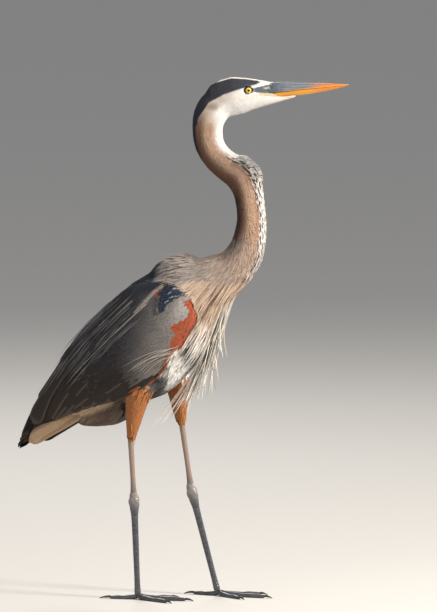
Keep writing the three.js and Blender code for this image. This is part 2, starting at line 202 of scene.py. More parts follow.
def on_guide(points):
    """How far along the guide each point is, its angle round it from the back, and the way ahead there."""
    run, angle, ahead = [], [], []
    for part in np.array_split(points, max(1, len(points) // POINTS_AT_ONCE)):
        k = ((part[:, None, :] - guide[None]) ** 2).sum(-1).argmin(1)
        out = part - guide[k]
        run.append(guide_run[k] + (out * guide_ahead[k]).sum(-1))
        angle.append(np.arctan2((out * guide_left[k]).sum(-1), (out * guide_up[k]).sum(-1)))
        ahead.append(guide_ahead[k])
    return np.concatenate(run), np.concatenate(angle), np.concatenate(ahead)


# ---- The form of the body, and the skin -----------------------------------------------------------------

FLESH = ["head", "neck_upper", "neck_middle", "neck_lower", "trunk", "thigh_left", "thigh_right"]
OVERLAP = 0.3  # closes the narrow gaps between the solids
WELD = 1e-6  # joins vertices at one place, in metres
VOXEL = 2.6
SMOOTHING_PASSES = 6


def wings(*parts):
    """The nodes of both wings that are named so."""
    return [f"wing_{side}_{part}" for part in parts for side in SIDES]


def linked(mesh, name):
    piece = bpy.data.objects.new(name, mesh)
    bpy.context.scene.collection.objects.link(piece)
    return piece


def settled(piece):
    """Applies the piece's modifiers to its mesh."""
    bpy.context.view_layer.update()
    final = bpy.data.meshes.new_from_object(piece.evaluated_get(bpy.context.evaluated_depsgraph_get()))
    piece.modifiers.clear()
    piece.data = final
    return piece


def form_of(name, solids, shells):
    """One smooth closed surface over several solids. The shells of the wings are filled first."""
    shape = bmesh.new()
    for node in solids + shells:
        part = bmesh.new()
        part.from_mesh(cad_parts[node].data)
        bmesh.ops.remove_doubles(part, verts=part.verts, dist=WELD)
        if node in shells:
            hull = bmesh.ops.convex_hull(part, input=part.verts)
            spare = hull["geom_interior"] + hull["geom_unused"]
            inside = {v for v in spare if isinstance(v, bmesh.types.BMVert)}
            bmesh.ops.delete(part, geom=list(inside), context="VERTS")
        bmesh.ops.recalc_face_normals(part, faces=part.faces)
        for v in part.verts:
            v.co += v.normal * OVERLAP * MM
        piece = bpy.data.meshes.new(node + "_part")
        part.to_mesh(piece)
        part.free()
        shape.from_mesh(piece)
        bpy.data.meshes.remove(piece)
    mesh = bpy.data.meshes.new(name)
    shape.to_mesh(mesh)
    shape.free()
    piece = linked(mesh, name)
    remesh = piece.modifiers.new("One surface", "REMESH")
    remesh.mode = "VOXEL"
    remesh.voxel_size = VOXEL * MM
    smooth = piece.modifiers.new("Soften", "SMOOTH")
    smooth.factor = 0.5
    smooth.iterations = SMOOTHING_PASSES
    return settled(piece)


def read_threes(items, field, kind=float):
    values = np.empty(3 * len(items), kind)
    items.foreach_get(field, values)
    return values.reshape(-1, 3)


def mesh_arrays(mesh):
    """Vertices in the bird's millimetres, their normals, and the triangles."""
    mesh.calc_loop_triangles()
    points, normals = read_threes(mesh.vertices, "co"), read_threes(mesh.vertices, "normal")
    return in_bird(points), normals, read_threes(mesh.loop_triangles, "vertices", int)


TRIES_PER_CELL = 5  # how many roots are tried for each one kept


class Surface:
    """A form that points can be carried over."""

    def __init__(self, mesh):
        self.points, self.normals, self.tris = mesh_arrays(mesh)
        self.face_normals = unit(self.normals[self.tris].mean(1))
        self.tree = BVHTree.FromPolygons(self.points.tolist(), self.tris.tolist())

    def nearest(self, points):
        spots = np.empty_like(points)
        faces = np.empty(len(points), int)
        for i, p in enumerate(points):
            spot, _, face, _ = self.tree.find_nearest(Vector(p))
            spots[i] = spot
            faces[i] = face
        return spots, self.face_normals[faces]

    def scatter(self, spacing, keep, seed):
        """Roots about one spacing apart over the part of the surface that keep allows."""
        rng = np.random.default_rng(seed)
        corners = self.points[self.tris]
        wanted = keep(corners.mean(1))
        corners = corners[wanted]
        edges = corners[:, 1] - corners[:, 0], corners[:, 2] - corners[:, 0]
        area = np.linalg.norm(np.cross(*edges), axis=1) / 2
        count = int(TRIES_PER_CELL * area.sum() / spacing**2)
        pick = rng.choice(len(area), count, p=area / area.sum())
        a, b = rng.random((2, count, 1))
        flip = a + b > 1
        a, b = np.where(flip, 1 - a, a), np.where(flip, 1 - b, b)
        c = corners[pick]
        spots = c[:, 0] + a * (c[:, 1] - c[:, 0]) + b * (c[:, 2] - c[:, 0])
        cell = np.floor(spots / spacing).astype(int)
        _, first = np.unique(cell, axis=0, return_index=True)
        return spots[np.sort(first)]


UNDER_JAW = np.array([147.0, 2.0, 900.0])
JAW_REACH, JAW_ROUNDS = 34, 40


def soften_jaw(piece):
    """Smooths the form further where the throat meets the head."""
    shape = bmesh.new()
    shape.from_mesh(piece.data)
    near = np.linalg.norm(in_bird([v.co for v in shape.verts]) - UNDER_JAW, axis=1) < JAW_REACH
    chosen = [v for v, wanted in zip(shape.verts, near) if wanted]
    every_way = {"use_axis_" + axis: True for axis in "xyz"}
    for _ in range(JAW_ROUNDS):
        bmesh.ops.smooth_vert(shape, verts=chosen, factor=0.5, **every_way)
    shape.to_mesh(piece.data)
    shape.free()
    return piece


form = soften_jaw(form_of("form", FLESH, wings("coverts", "secondaries", "primaries")))
body = Surface(form.data)
skin = soften_jaw(form_of("skin", FLESH, wings("coverts", "secondaries")))
RAY_START, RAY_REACH = 1.5, 60  # the stretch above a place in which it looks for what covers it


def outer(points, normals):
    """Which points have nothing over them."""
    starts = points + normals * RAY_START
    hits = [body.tree.ray_cast(Vector(p), Vector(n), RAY_REACH)[0] for p, n in zip(starts, normals)]
    return np.array([hit is None for hit in hits], bool)


# ---- Regions --------------------------------------------------------------------------------------------

# The folded wing from the side: x, z.
WING_EDGE = [
    (109, 529), (103, 556), (84, 580), (48, 594), (5, 590), (-45, 578), (-120, 570), (-215, 470),
    (-290, 330), (-285, 252), (-262, 258), (-247, 286), (-226, 314), (-190, 325), (-148, 337), (-119, 348),
    (-79, 361), (-32, 379), (3, 397), (37, 424), (66, 464), (94, 500),
]
WING_LOOP = smooth_line(WING_EDGE + WING_EDGE[:1], 160)


def inside_loop(points, loop):
    """Which points lie inside a closed loop in the side view."""
    x, z = points[:, 0], points[:, 2]
    inside = np.zeros(len(points), bool)
    for (ax, az), (bx, bz) in zip(loop[:-1], loop[1:]):
        crosses = (az > z) != (bz > z)
        inside ^= crosses & (x < (bx - ax) * (z - az) / (bz - az + 1e-12) + ax)
    return inside


def loop_distance(points, loop):
    """How far points are from a loop in the side view."""
    flat = points[:, [0, 2]]
    return np.sqrt(((flat[:, None] - loop[None]) ** 2).sum(-1)).min(1)


WING_INNER, WING_OUTER = 6, 26  # how far from the middle a wing begins, and its outer face


def on_wing(points):
    return inside_loop(points, WING_LOOP) & (abs(points[:, 1]) > WING_INNER)


THIGH_LINE = {
    "right": np.array([(-21, -50, 288), (-16, -49, 322), (-10, -46, 366), (0, -40, 405)], float),
    "left": np.array([(42, 49, 314), (41, 48, 340), (39, 46, 380), (32, 40, 420)], float),
}
THIGH_REACH, THIGH_TOP_GAP = 31.0, 8


def on_thigh(points):
    found = np.zeros(len(points), bool)
    for line in THIGH_LINE.values():
        axis = smooth_line(line, 40)
        near = np.sqrt(((points[:, None] - axis[None]) ** 2).sum(-1)).min(1)
        found |= (near < THIGH_REACH) & (points[:, 2] < line[-1, 2] - THIGH_TOP_GAP)
    return found & ~on_wing(points)


# ---- Markings -------------------------------------------------------------------------------------------

BLACK, BLUE_BLACK, WHITE = ink("17171c"), ink("1e2533"), ink("e8e4e0")
STREAK_BLACK, STREAK_BUFF, STREAK_CREAM = ink("1d1a1b"), ink("c9b19c"), ink("ddd2c6")
CHEEK, LORE, CREAM, GAPE_CREAM = ink("cdbfb3"), ink("5d6672"), ink("e2d6a8"), ink("cdb884")
# The last of these browns is partly the neck's own brown and partly painted shade.
TAUPE, PALE_TAUPE, BACK_BROWN_AND_SHADE = ink("8d6a54"), ink("c3a48c"), ink("543727")
# A dark brown that is partly a streak of the plumage and partly painted shade.
DARK_BROWN_AND_SHADE = ink("2f241f")
LOWER_NECK, MANTLE = ink("a98c7a"), ink("9d938c")
DARK_SLATE, WING_SLATE = ink("252933"), ink("2b2b2f")
WING_BROWN, WRIST_GREY, BUFF_STREAK = ink("29231f"), ink("77716d"), ink("998c82")
RUFOUS, THIGH_COLOUR, UNDERTAIL = ink("96492e"), ink("9c6339"), ink("ab917a")
# A pale blue for streaks that are partly the plumage's own and partly painted gloss.
GLOSS_STREAK_BLUE = ink("959ba6")
EPAULETTE_BLUE, WRIST_PALE, PALE_BREAST = ink("252c3b"), ink("a39e99"), ink("c2ae9c")

BILL_SLATE, BILL_PALE, BILL_ORANGE = ink("525b67"), ink("a3a8aa"), ink("d9792a")

# Places on the wing from the side: x, z.
RUFOUS_PATCH = [
    (95, 567), (107, 558), (114, 542), (111, 523), (102, 503), (88, 484), (74, 471), (66, 479), (71, 491),
    (76, 500), (66, 510), (78, 519), (94, 528), (100, 544), (94, 560), (95, 567),
]
EPAULETTE = [
    (48, 579), (66, 587), (82, 578), (80, 567), (62, 557), (54, 542), (44, 538), (42, 560), (48, 579),
]
# Lines across the epaulette that are partly pale streaks of its own and partly painted gloss on its folds.
EPAULETTE_GLOSS_STREAKS = [[(60, 572), (72, 583), (86, 577)], [(56, 556), (66, 566), (80, 570)]]
BUFF_STREAK_LINE = [(44, 585), (30, 574), (14, 556), (-4, 536)]
RUFOUS_SPOT = np.array([34.0, 571.0])

SMUDGE = (131, 918, 19, 11)  # a brownish place behind the cheek: x, z and its reach along each
SMUDGE_BROWN = ink("8a7567")

# The lower edge of the black head stripe: ahead of the pivot, height, from the brow back to the nape.
STRIPE_EDGE = np.array(
    [(-34, 845), (-26, 896), (-5, 925), (25, 941), (66, 954.5), (84, 959), (93, 965)], float
)


def lore_edges(ahead):
    """The lower and upper edge of the bare skin between the eye and the bill."""
    return 945 - 0.1 * np.clip(ahead - 79, 0, 60), np.minimum(953.5 + 0.22 * (ahead - 79), 958.6)


def eye_distance(ahead, out, up):
    """How far places of the head are from the middle of the eye on their side."""
    return np.linalg.norm(np.stack([ahead, out, up], -1) - [EYE_AHEAD, EYE_OUT, EYE_HEIGHT], axis=1)


def plumage(points):
    """The colour of the plumage at each place, in linear light."""
    run, angle, _ = on_guide(points)
    round_ = abs(angle)
    head = to_head(points)
    x, y, z = points.T
    ahead, out, up = head[:, 0], abs(head[:, 1]), head[:, 2]
    colour = np.tile(MANTLE, (len(points), 1))

    def lay(tone, mask):
        colour[:] = toward(colour, tone, mask)

    # Neck, from its root to the head.
    neck = ease(run, PLACE["shoulders"] - 30, PLACE["lower neck"])
    lay(LOWER_NECK, neck)
    upper = ease(run, PLACE["lower neck"] + 5, PLACE["mid neck"])
    lay(TAUPE, upper)
    lay(PALE_TAUPE, 0.65 * upper * within(round_, 1.3, 2.3, 0.35))
    below_nape = 1 - ease(run, PLACE["neck bow"], PLACE["nape"])
    # The brown down the back half of the upper neck is partly the plumage's own colour and partly painted
    # shade on the side turned away from the light.
    lay(BACK_BROWN_AND_SHADE, 0.9 * upper * (1 - ease(round_, 0.55, 1.95)) * below_nape)
    below_bend = within(run, PLACE["lower neck"] - 4, PLACE["kink below"], 20)
    # The dark band down the back of the lower neck is partly a dark streak of the plumage and partly
    # painted shade on the side turned away from the light.
    lay(DARK_BROWN_AND_SHADE, 0.9 * (below_bend * (1 - ease(round_, 0.65, 1.4))))
    above_bend = ease(run, PLACE["kink above"], PLACE["upper neck"])
    front = ease(round_ - 0.22 * above_bend, 2.4 - 0.5 * above_bend, 2.85 - 0.1 * above_bend)
    lay(WHITE, front * ease(run, PLACE["neck root"] - 20, PLACE["lower neck"] + 10))
    # Head.
    on_head = ease(run, PLACE["throat"] + 6, PLACE["occiput"] - 8)
    lay(CHEEK, on_head)
    lay(WHITE, on_head * ease(ahead + 0.5 * (945 - up), 24, 58))
    lay(WHITE, on_head * ease(round_, 1.7, 2.4))
    smudge = np.hypot((x - SMUDGE[0]) / SMUDGE[2], (z - SMUDGE[1]) / SMUDGE[3])
    lay(SMUDGE_BROWN, 0.7 * (1 - ease(smudge, 0.2, 1.0)))
    stripe = ease(up, *[np.interp(ahead, STRIPE_EDGE[:, 0], STRIPE_EDGE[:, 1]) + d for d in (-2, 2)])
    stripe = np.where(run > PLACE["throat"] - 22, stripe, 0) * (1 - ease(ahead, 90, 97))
    nape = (1 - ease(round_, 0.55, 0.8)) * within(run, PLACE["neck bow"] - 14, PLACE["occiput"], 9)
    black_cap = np.maximum(stripe * (run > PLACE["nape"] - 14), nape * (ahead < 30))
    lay(BLUE_BLACK, 0.96 * black_cap)
    lay(WHITE, (1 - ease(out, 3.5, 6)) * ease(ahead, 4, 18) * ease(up, 950, 956) * on_head)
    low, high = lore_edges(ahead)
    lores = ease(ahead, 76, 80) * ease(up, low - 0.8, low + 0.8) * (1 - ease(up, high - 0.8, high + 0.8))
    lores *= np.maximum(ease(out, 1.5, 4), ease(ahead, 104, 110))
    lay(LORE, lores)
    lay(BILL_SLATE, lores * ease(ahead, 100, 124))
    lay(CREAM, 0.8 * within(ahead, 97, 112, 3) * within(up, 951, 954.5, 0.8) * lores)
    lay(GAPE_CREAM, 0.8 * ease(ahead, 84, 92) * within(up, low - 4.6, low - 0.4, 0.6) * ease(out, 1.5, 4))
    from_eye = eye_distance(ahead, out, up) - EYE_RADIUS
    lay(LORE, on_head * (1 - ease(from_eye, 1.4, 2.8)))
    # Body.
    trunk = 1 - ease(run, PLACE["shoulders"] - 40, PLACE["shoulders"] + 20)
    back = trunk * (1 - ease(round_, 1.5, 1.9))
    lay(DARK_SLATE, back * (1 - ease(x, 28, 42)))
    below = trunk * ease(round_, 1.7, 2.05)
    lay(PALE_BREAST, below)
    lay(WHITE, below * (1 - ease(z, 450, 540)))
    lay(BLACK, 0.94 * below * within(x - 0.35 * (z - 390), 0, 44, 7) * (1 - ease(z, 418, 440)))
    lay(UNDERTAIL, trunk * (1 - ease(x, -58, -28)) * ease(round_, 1.5, 1.9))
    # Painted shade: the underside of the vent is darkened where the body hangs over it.
    lay(DARK_BROWN_AND_SHADE, 0.85 * below * ease(round_, 2.35, 2.75) * (1 - ease(x, -70, -40)))
    # Painted shadow: black in the gap between the vent and the thigh.
    lay(BLACK, below * within(x, -58, -20, 9) * 0.9)
    # Wing.
    wing = on_wing(points).astype(float)
    outside = (abs(y) > WING_OUTER).astype(float)
    lay(WING_SLATE, wing)
    lay(WING_BROWN, wing * (1 - ease(z, 392, 486)))
    lay(DARK_SLATE, wing * ease(z + 0.75 * x, 545, 585) * (1 - ease(x, 34, 44)))
    wrist = x - 29 - 0.22 * (z - 439)
    lay(WRIST_GREY, wing * outside * ease(wrist, -75, 34) * (1 - ease(z, 560, 580)))
    lay(WRIST_PALE, 0.7 * wing * outside * ease(wrist, 8, 34) * ease(z, 500, 545) * (1 - ease(z, 565, 580)))
    from_streak = loop_distance(points, smooth_line(BUFF_STREAK_LINE, 40))
    lay(BUFF_STREAK, 0.8 * outside * (1 - ease(from_streak, 1.4, 5.4)))
    lay(RUFOUS, outside * (1 - ease(np.hypot(x - RUFOUS_SPOT[0], z - RUFOUS_SPOT[1]), 3.4, 5)))
    lay(EPAULETTE_BLUE, outside * inside_loop(points, smooth_line(EPAULETTE, 60)))
    # Pale-blue streaks over the epaulette: partly its own, partly painted gloss on its folds.
    for streak in EPAULETTE_GLOSS_STREAKS:
        from_streak = loop_distance(points, smooth_line(streak, 20))
        lay(GLOSS_STREAK_BLUE, 0.8 * outside * (1 - ease(from_streak, 0.4, 1.8)))
    lay(RUFOUS, outside * inside_loop(points, smooth_line(RUFOUS_PATCH, 90)))
    # Thighs.
    lay(THIGH_COLOUR, on_thigh(points).astype(float))
    return np.clip(colour, 0, 1)


# ---- Making many small things as one mesh ---------------------------------------------------------------

OFBAKE_PATCH = 0.003
SOFT_EDGE = 1.6  # turns the shading at a feather's edges towards its face, so that neighbours run together
LEAST_WIDTH, LEAST_DEPTH = 0.06, 0.1  # of a feather's ends, as shares of its middle
TUFT_SECTION = np.array([(-1, 0), (0, 1), (1, 0)], float)  # across, height
VANE_SECTION = np.array([(-1, 0), (-0.5, 0.6), (0, 1), (0.5, 0.6), (1, 0), (0, -0.2)], float)


def leaf(v, wide_at=0.45, base=0.45):
    """How wide a contour feather is along its length."""
    rise = base + (1 - base) * np.sin(0.5 * np.pi * np.clip(v / wide_at, 0, 1))
    fall = np.sqrt(np.clip(1 - ((v - wide_at) / (1 - wide_at)) ** 2, 0, 1))
    return np.where(v < wide_at, rise, fall)


def strand(v):
    """A long loose plume: widest near its root, then drawn out to a point."""
    return np.clip(0.6 + 1.6 * v, 0, 1) * (1 - v) ** 0.7


def filament(v):
    """A hanging plume: nearly even, with a fine tip."""
    return np.clip(0.5 + 1.4 * v, 0, 1) * (1 - v) ** 0.35


def blade(v):
    """A flight feather: parallel sides and a rounded tip."""
    return np.clip(0.5 + 2.5 * v, 0, 1) * np.sqrt(np.clip(1 - np.clip((v - 0.86) / 0.14, 0, 1) ** 2, 0, 1))


def unwrapped(roots):
    """Where each root falls on an unwrap of the skin: round it, and along it."""
    run, angle, _ = on_guide(roots)
    along = (run - run.min()) / max(run.max() - run.min(), 1e-6)
    return np.stack([0.02 + 0.96 * (angle / (2 * np.pi) + 0.5), 0.02 + 0.96 * along], -1)


def many(name, ribs, ups, width, thick, shape, section, cup, colour):
    """One closed feather for each rib. ribs and ups are (steps, feathers, 3); each step has a colour."""
    steps, count, _ = ribs.shape
    corners = len(section)
    v = np.linspace(0, 1, steps)
    ahead = unit(np.gradient(ribs, axis=0))
    across = unit(np.cross(ups, ahead))
    up = np.cross(ahead, across)
    half = 0.5 * width[None] * np.maximum(shape(v), LEAST_WIDTH)[:, None]
    high = thick * np.maximum(shape(v), LEAST_DEPTH)[:, None]
    a, b = section[:, 0], section[:, 1]
    points = (
        ribs[:, :, None]
        + across[:, :, None] * (half[..., None] * a)[..., None]
        + up[:, :, None] * (high[..., None] * b - cup * half[..., None] * a**2)[..., None]
    )
    points = points.transpose(1, 0, 2, 3).reshape(-1, 3)
    lifted = (SOFT_EDGE + b)[None, None, :, None]
    facing = across[:, :, None] * a[None, None, :, None] + up[:, :, None] * lifted
    facing = unit(facing).transpose(1, 0, 2, 3).reshape(-1, 3)
    first = np.arange(count)[:, None] * steps * corners
    ring, side = np.meshgrid(np.arange(steps - 1), np.arange(corners), indexing="ij")
    here, turn = (ring * corners + side).ravel(), (ring * corners + (side + 1) % corners).ravel()
    quads = np.stack([here, here + corners, turn + corners, turn], -1)
    quads = (first[:, :, None] + quads[None]).reshape(-1, 4)
    root_cap = first + np.arange(corners)[None]
    tip_cap = first + (steps - 1) * corners + np.arange(corners)[::-1][None]
    loops = np.concatenate([quads.ravel(), root_cap.ravel(), tip_cap.ravel()])
    sizes = np.concatenate([np.full(len(quads), 4), np.full(2 * count, corners)])
    mesh = bpy.data.meshes.new(name)
    mesh.vertices.add(len(points))
    mesh.vertices.foreach_set("co", in_frame(points).ravel())
    mesh.loops.add(len(loops))
    mesh.loops.foreach_set("vertex_index", loops.astype(np.int32))
    mesh.polygons.add(len(sizes))
    mesh.polygons.foreach_set("loop_start", np.concatenate([[0], np.cumsum(sizes)[:-1]]).astype(np.int32))
    mesh.polygons.foreach_set("loop_total", sizes.astype(np.int32))
    mesh.polygons.foreach_set("use_smooth", np.ones(len(sizes), bool))
    mesh.update(calc_edges=True)
    mesh.normals_split_custom_set_from_vertices(facing.tolist())
    mark = mesh.color_attributes.new("Plumage", "FLOAT_COLOR", "POINT")
    shade = np.broadcast_to(colour[:, :, None], (steps, count, corners, 4)).transpose(1, 0, 2, 3)
    mark.data.foreach_set("color", np.ascontiguousarray(shade).ravel().astype(np.float32))
    grain = np.empty((count, steps, corners, 2))
    grain[..., 0] = (a + 1) / 2
    grain[..., 1] = v[None, :, None]
    flat_grain = grain.reshape(-1, 2)[loops]
    home = np.repeat(unwrapped(ribs[0]), steps * corners, axis=0)[loops]
    maps = {"Vane": flat_grain, "OFBake": home + OFBAKE_PATCH * (flat_grain - 0.5)}
    for title, values in maps.items():
        layer = mesh.uv_layers.new(name=title)
        layer.data.foreach_set("uv", values.ravel().astype(np.float32))
    return linked(mesh, name)


LEAST_FACING = 0.12  # ribs leave the surface where it turns further away from their side


def carried(roots, heading, length, steps, sunk, proud, surface=None, snap=7.0, flare=0.0, facing=None):
    """Ribs that follow the surface from each root. sunk is the root's depth and proud the tip's height.
    facing keeps them to the side of the surface that looks that way."""
    surface = surface or body
    spots, up = surface.nearest(roots)
    way = flat_on(heading, up)
    ribs, ups = [], []
    for k in range(steps):
        v = k / (steps - 1)
        ribs.append(spots + up * np.reshape(-sunk + (sunk + proud) * v**0.8 + flare * v * v, (-1, 1)))
        ups.append(up)
        step_on = spots + way * np.reshape(length / (steps - 1), (-1, 1))
        touch, normal = surface.nearest(step_on)
        held = (np.linalg.norm(touch - step_on, axis=1) < snap)[:, None]
        if facing is not None:
            held &= ((normal * facing).sum(-1) > LEAST_FACING)[:, None]
        spots = np.where(held, touch, step_on)
        up = np.where(held, unit(up + normal), up)
        way = flat_on(way, up)
    return np.array(ribs), np.array(ups)


def curve_between(start, lead, end, steps):
    """Curves that leave each start along its lead and bend towards each end."""
    v = np.linspace(0, 1, steps)[:, None, None]
    middle = start + lead
    return (1 - v) ** 2 * start + 2 * v * (1 - v) * middle + v * v * end


def shin_line(side):
    """The hock and the top of the bare shin."""
    return tuple(np.array([x, SIDES[side] * y, z]) for x, y, z in (HOCK[side], SHIN_TOP[side]))


def lie(points, droop=0.0):
    """The way feathers lie: back along the body, and a little down."""
    _, _, ahead = on_guide(points)
    return unit(-ahead + np.array([0.0, 0.0, -droop]))


def tinted(base, steps, spread, seed, tip=1.0):
    """A feather's own shade of the plumage. base has a colour for each feather, or for each step too."""
    rng = np.random.default_rng(seed)
    own = 1 + spread * rng.standard_normal((1, base.shape[-2], 1))
    rgb = np.clip(base * own * np.linspace(1, tip, steps)[:, None, None], 0, 1)
    alpha = np.broadcast_to(rng.random((1, base.shape[-2], 1)), (*rgb.shape[:2], 1))
    return np.concatenate([rgb, alpha], -1)


# ---- Shader groups and materials ------------------------------------------------------------------------


def node_group(name, inputs, outputs):
    group = bpy.data.node_groups.new(name, "ShaderNodeTree")
    for title, kind, value in inputs:
        socket = group.interface.new_socket(title, in_out="INPUT", socket_type="NodeSocket" + kind)
        socket.default_value = value
    for title, kind in outputs:
        group.interface.new_socket(title, in_out="OUTPUT", socket_type="NodeSocket" + kind)
    return group, group.nodes.new("NodeGroupInput"), group.nodes.new("NodeGroupOutput")


class Graph:
    """Short ways to add nodes to a tree and join them."""

    def __init__(self, tree):
        self.tree = tree

    def node(self, kind, inputs=None, **settings):
        made = self.tree.nodes.new("ShaderNode" + kind)
        for key, value in settings.items():
            setattr(made, key, value)
        for key, value in (inputs or {}).items():
            self.put(value, made.inputs[key])
        return made

    def put(self, value, socket):
        if isinstance(value, bpy.types.NodeSocket):
            self.tree.links.new(value, socket)
        else:
            socket.default_value = value

    def math(self, operation, a, b=0.0):
        return self.node("Math", {0: a, 1: b}, operation=operation).outputs[0]

    def span(self, value, low, high):
        ends = {"Value": value, "From Min": low, "From Max": high}
        return self.node("MapRange", ends, interpolation_type="SMOOTHSTEP").outputs["Result"]

    def mix(self, share, a, b, blend="MIX"):
        made = self.node("Mix", data_type="RGBA", blend_type=blend)
        self.put(share, made.inputs[0])
        self.put(a, made.inputs[6])
        self.put(b, made.inputs[7])
        return made.outputs[2]

    def noise(self, scale, detail):
        place = self.node("TexCoord").outputs["Object"]
        return self.node("TexNoise", {"Vector": place, "Scale": scale, "Detail": detail}).outputs["Fac"]

    def toned(self, colour, tone, contrast):
        """The colour made lighter or darker by a tone around nought."""
        level = self.math("ADD", 1.0, self.math("MULTIPLY", tone, contrast))
        grey = self.node("CombineColor", {0: level, 1: level, 2: level}).outputs[0]
        return self.mix(1.0, colour, grey, "MULTIPLY")

    def plumage(self):
        """The colour kept with the piece's vertices."""
        return self.node("Attribute", attribute_name="Plumage").outputs["Color"]


def rgba(colour):
    return (*[float(c) for c in colour], 1.0)


def barbs_group():
    """The shaft, barbs and pale or dark fringe of a feather, from its own map."""
    group, given, made = node_group(
        "Barbs",
        [("Colour", "Color", (0.5, 0.5, 0.5, 1)), ("Fringe", "Color", (0.8, 0.8, 0.8, 1)),
         ("Fringe Share", "Float", 0.0), ("Shaft", "Color", (0.1, 0.1, 0.1, 1)),
         ("Shaft Share", "Float", 0.2), ("Barb Count", "Float", 60.0), ("Contrast", "Float", 0.18)],
        [("Colour", "Color"), ("Height", "Float")],
    )
    g = Graph(group)
    uv = g.node("SeparateXYZ", {0: g.node("UVMap", uv_map="Vane").outputs[0]})
    side = g.math("ABSOLUTE", g.math("SUBTRACT", g.math("MULTIPLY", uv.outputs[0], 2.0), 1.0))
    slant = g.math("SUBTRACT", uv.outputs[1], g.math("MULTIPLY", side, 0.12))
    wave = g.math("SINE", g.math("MULTIPLY", slant, g.math("MULTIPLY", given.outputs["Barb Count"], 6.283)))
    mottle = g.noise(190.0, 4.0)
    uneven = g.math("MULTIPLY", g.math("SUBTRACT", mottle, 0.5), 1.6)
    tone = g.math("ADD", uneven, g.math("MULTIPLY", wave, 0.25))
    toned = g.toned(given.outputs["Colour"], tone, given.outputs["Contrast"])
    rim = g.math("MAXIMUM", g.span(side, 0.62, 0.98), g.span(uv.outputs[1], 0.9, 1.0))
    fringed = g.mix(g.math("MULTIPLY", rim, given.outputs["Fringe Share"]), toned, given.outputs["Fringe"])
    shaft = g.math("MULTIPLY", g.span(side, 0.12, 0.0), given.outputs["Shaft Share"])
    g.put(g.mix(shaft, fringed, given.outputs["Shaft"]), made.inputs["Colour"])
    g.put(g.math("ADD", wave, g.math("MULTIPLY", mottle, 1.5)), made.inputs["Height"])
    return group


def grain_group():
    """Fine uneven tone and relief for skin, scales and horn."""
    group, given, made = node_group(
        "Fine grain",
        [("Colour", "Color", (0.5, 0.5, 0.5, 1)), ("Scale", "Float", 400.0), ("Contrast", "Float", 0.2)],
        [("Colour", "Color"), ("Height", "Float")],
    )
    g = Graph(group)
    soft = g.noise(given.outputs["Scale"], 5.0)
    tone = g.math("SUBTRACT", soft, 0.5)
    g.put(g.toned(given.outputs["Colour"], tone, given.outputs["Contrast"]), made.inputs["Colour"])
    g.put(soft, made.inputs["Height"])
    return group


BARBS = barbs_group()
GRAIN = grain_group()


def material(name, roughness, coat=0.0, coat_roughness=0.1, sheen=0.0, specular=0.5):
    made = bpy.data.materials.new(name)
    made.use_nodes = True
    made.node_tree.nodes.clear()
    g = Graph(made.node_tree)
    look = {"Roughness": roughness, "Coat Weight": coat, "Coat Roughness": coat_roughness,
            "Sheen Weight": sheen, "Specular IOR Level": specular}
    shader = g.node("BsdfPrincipled", look)
    g.node("OutputMaterial", {"Surface": shader.outputs[0]})
    return made, g, shader


def finish_with(g, shader, group, strength=0.0, distance=0.0):
    """The group's colour, and its height as a bump, put on the shader."""
    g.put(group.outputs["Colour"], shader.inputs["Base Color"])
    if strength:
        relief = {"Height": group.outputs["Height"], "Strength": strength, "Distance": distance}
        g.put(g.node("Bump", relief).outputs[0], shader.inputs["Normal"])


FEATHER_SHAFT = ink("2a2622")


def feather_material(name, fringe="d8d0c6", fringe_share=0.0, shaft_share=0.15, count=40.0, contrast=0.2,
                     roughness=0.75, sheen=0.0):
    made, g, shader = material(name, roughness, sheen=sheen, specular=0.2)
    values = {"Colour": g.plumage(), "Fringe": rgba(ink(fringe)), "Fringe Share": fringe_share,
              "Shaft": rgba(FEATHER_SHAFT), "Shaft Share": shaft_share, "Barb Count": count,
              "Contrast": contrast}
    finish_with(g, shader, g.node("Group", values, node_tree=BARBS), 0.35, 0.0004)
    return made


SOFT_FEATHER = feather_material("Soft feather", contrast=0.16, count=14.0, shaft_share=0.08, sheen=0.06)
COVERT_FEATHER = feather_material("Wing covert", fringe="77706a", fringe_share=0.22, count=30.0)
FLIGHT_FEATHER = feather_material("Flight feather", fringe="6b5d51", fringe_share=0.42, count=90.0,
                                  roughness=0.65)
PLUME_FEATHER = feather_material("Loose plume", contrast=0.25, count=60.0, shaft_share=0.05, sheen=0.08)
TAIL_FEATHER = feather_material("Tail feather", fringe="3a2f28", fringe_share=0.3, count=90.0)


def grained(name, roughness, scale, contrast, strength=0.0, distance=0.0, colour=None, **look):
    """A material with a fine grain, in one colour or in those kept with the piece."""
    made, g, shader = material(name, roughness, **look)
    values = {"Colour": colour or g.plumage(), "Scale": scale, "Contrast": contrast}
    finish_with(g, shader, g.node("Group", values, node_tree=GRAIN), strength, distance)
    return made


# ---- Skin -----------------------------------------------------------------------------------------------


def coat_depth(points):
    run, _, _ = on_guide(points)
    depth = np.full(len(points), COAT["trunk"])
    neck = ease(run, PLACE["shoulders"], PLACE["lower neck"])
    depth += (COAT["neck"] - depth) * neck
    depth += (COAT["head"] - depth) * ease(run, PLACE["throat"], PLACE["crown"])
    depth = np.where(on_wing(points), COAT["wing"], depth)
    return np.where(on_thigh(points), COAT["thigh"], depth)


def paint(mesh, colour):
    mark = mesh.color_attributes.new("Plumage", "FLOAT_COLOR", "POINT")
    mark.data.foreach_set("color", np.c_[colour, np.ones(len(colour))].ravel().astype(np.float32))


SKIN_SHADE = 0.8  # the skin between the feathers is in their shade


def finish_skin():
    points, normals, _ = mesh_arrays(skin.data)
    colour = plumage(points)
    sunk = points - normals * coat_depth(points)[:, None]
    skin.data.vertices.foreach_set("co", in_frame(sunk).ravel())
    skin.data.update()
    paint(skin.data, colour * SKIN_SHADE)
    for face in skin.data.polygons:
        face.use_smooth = True


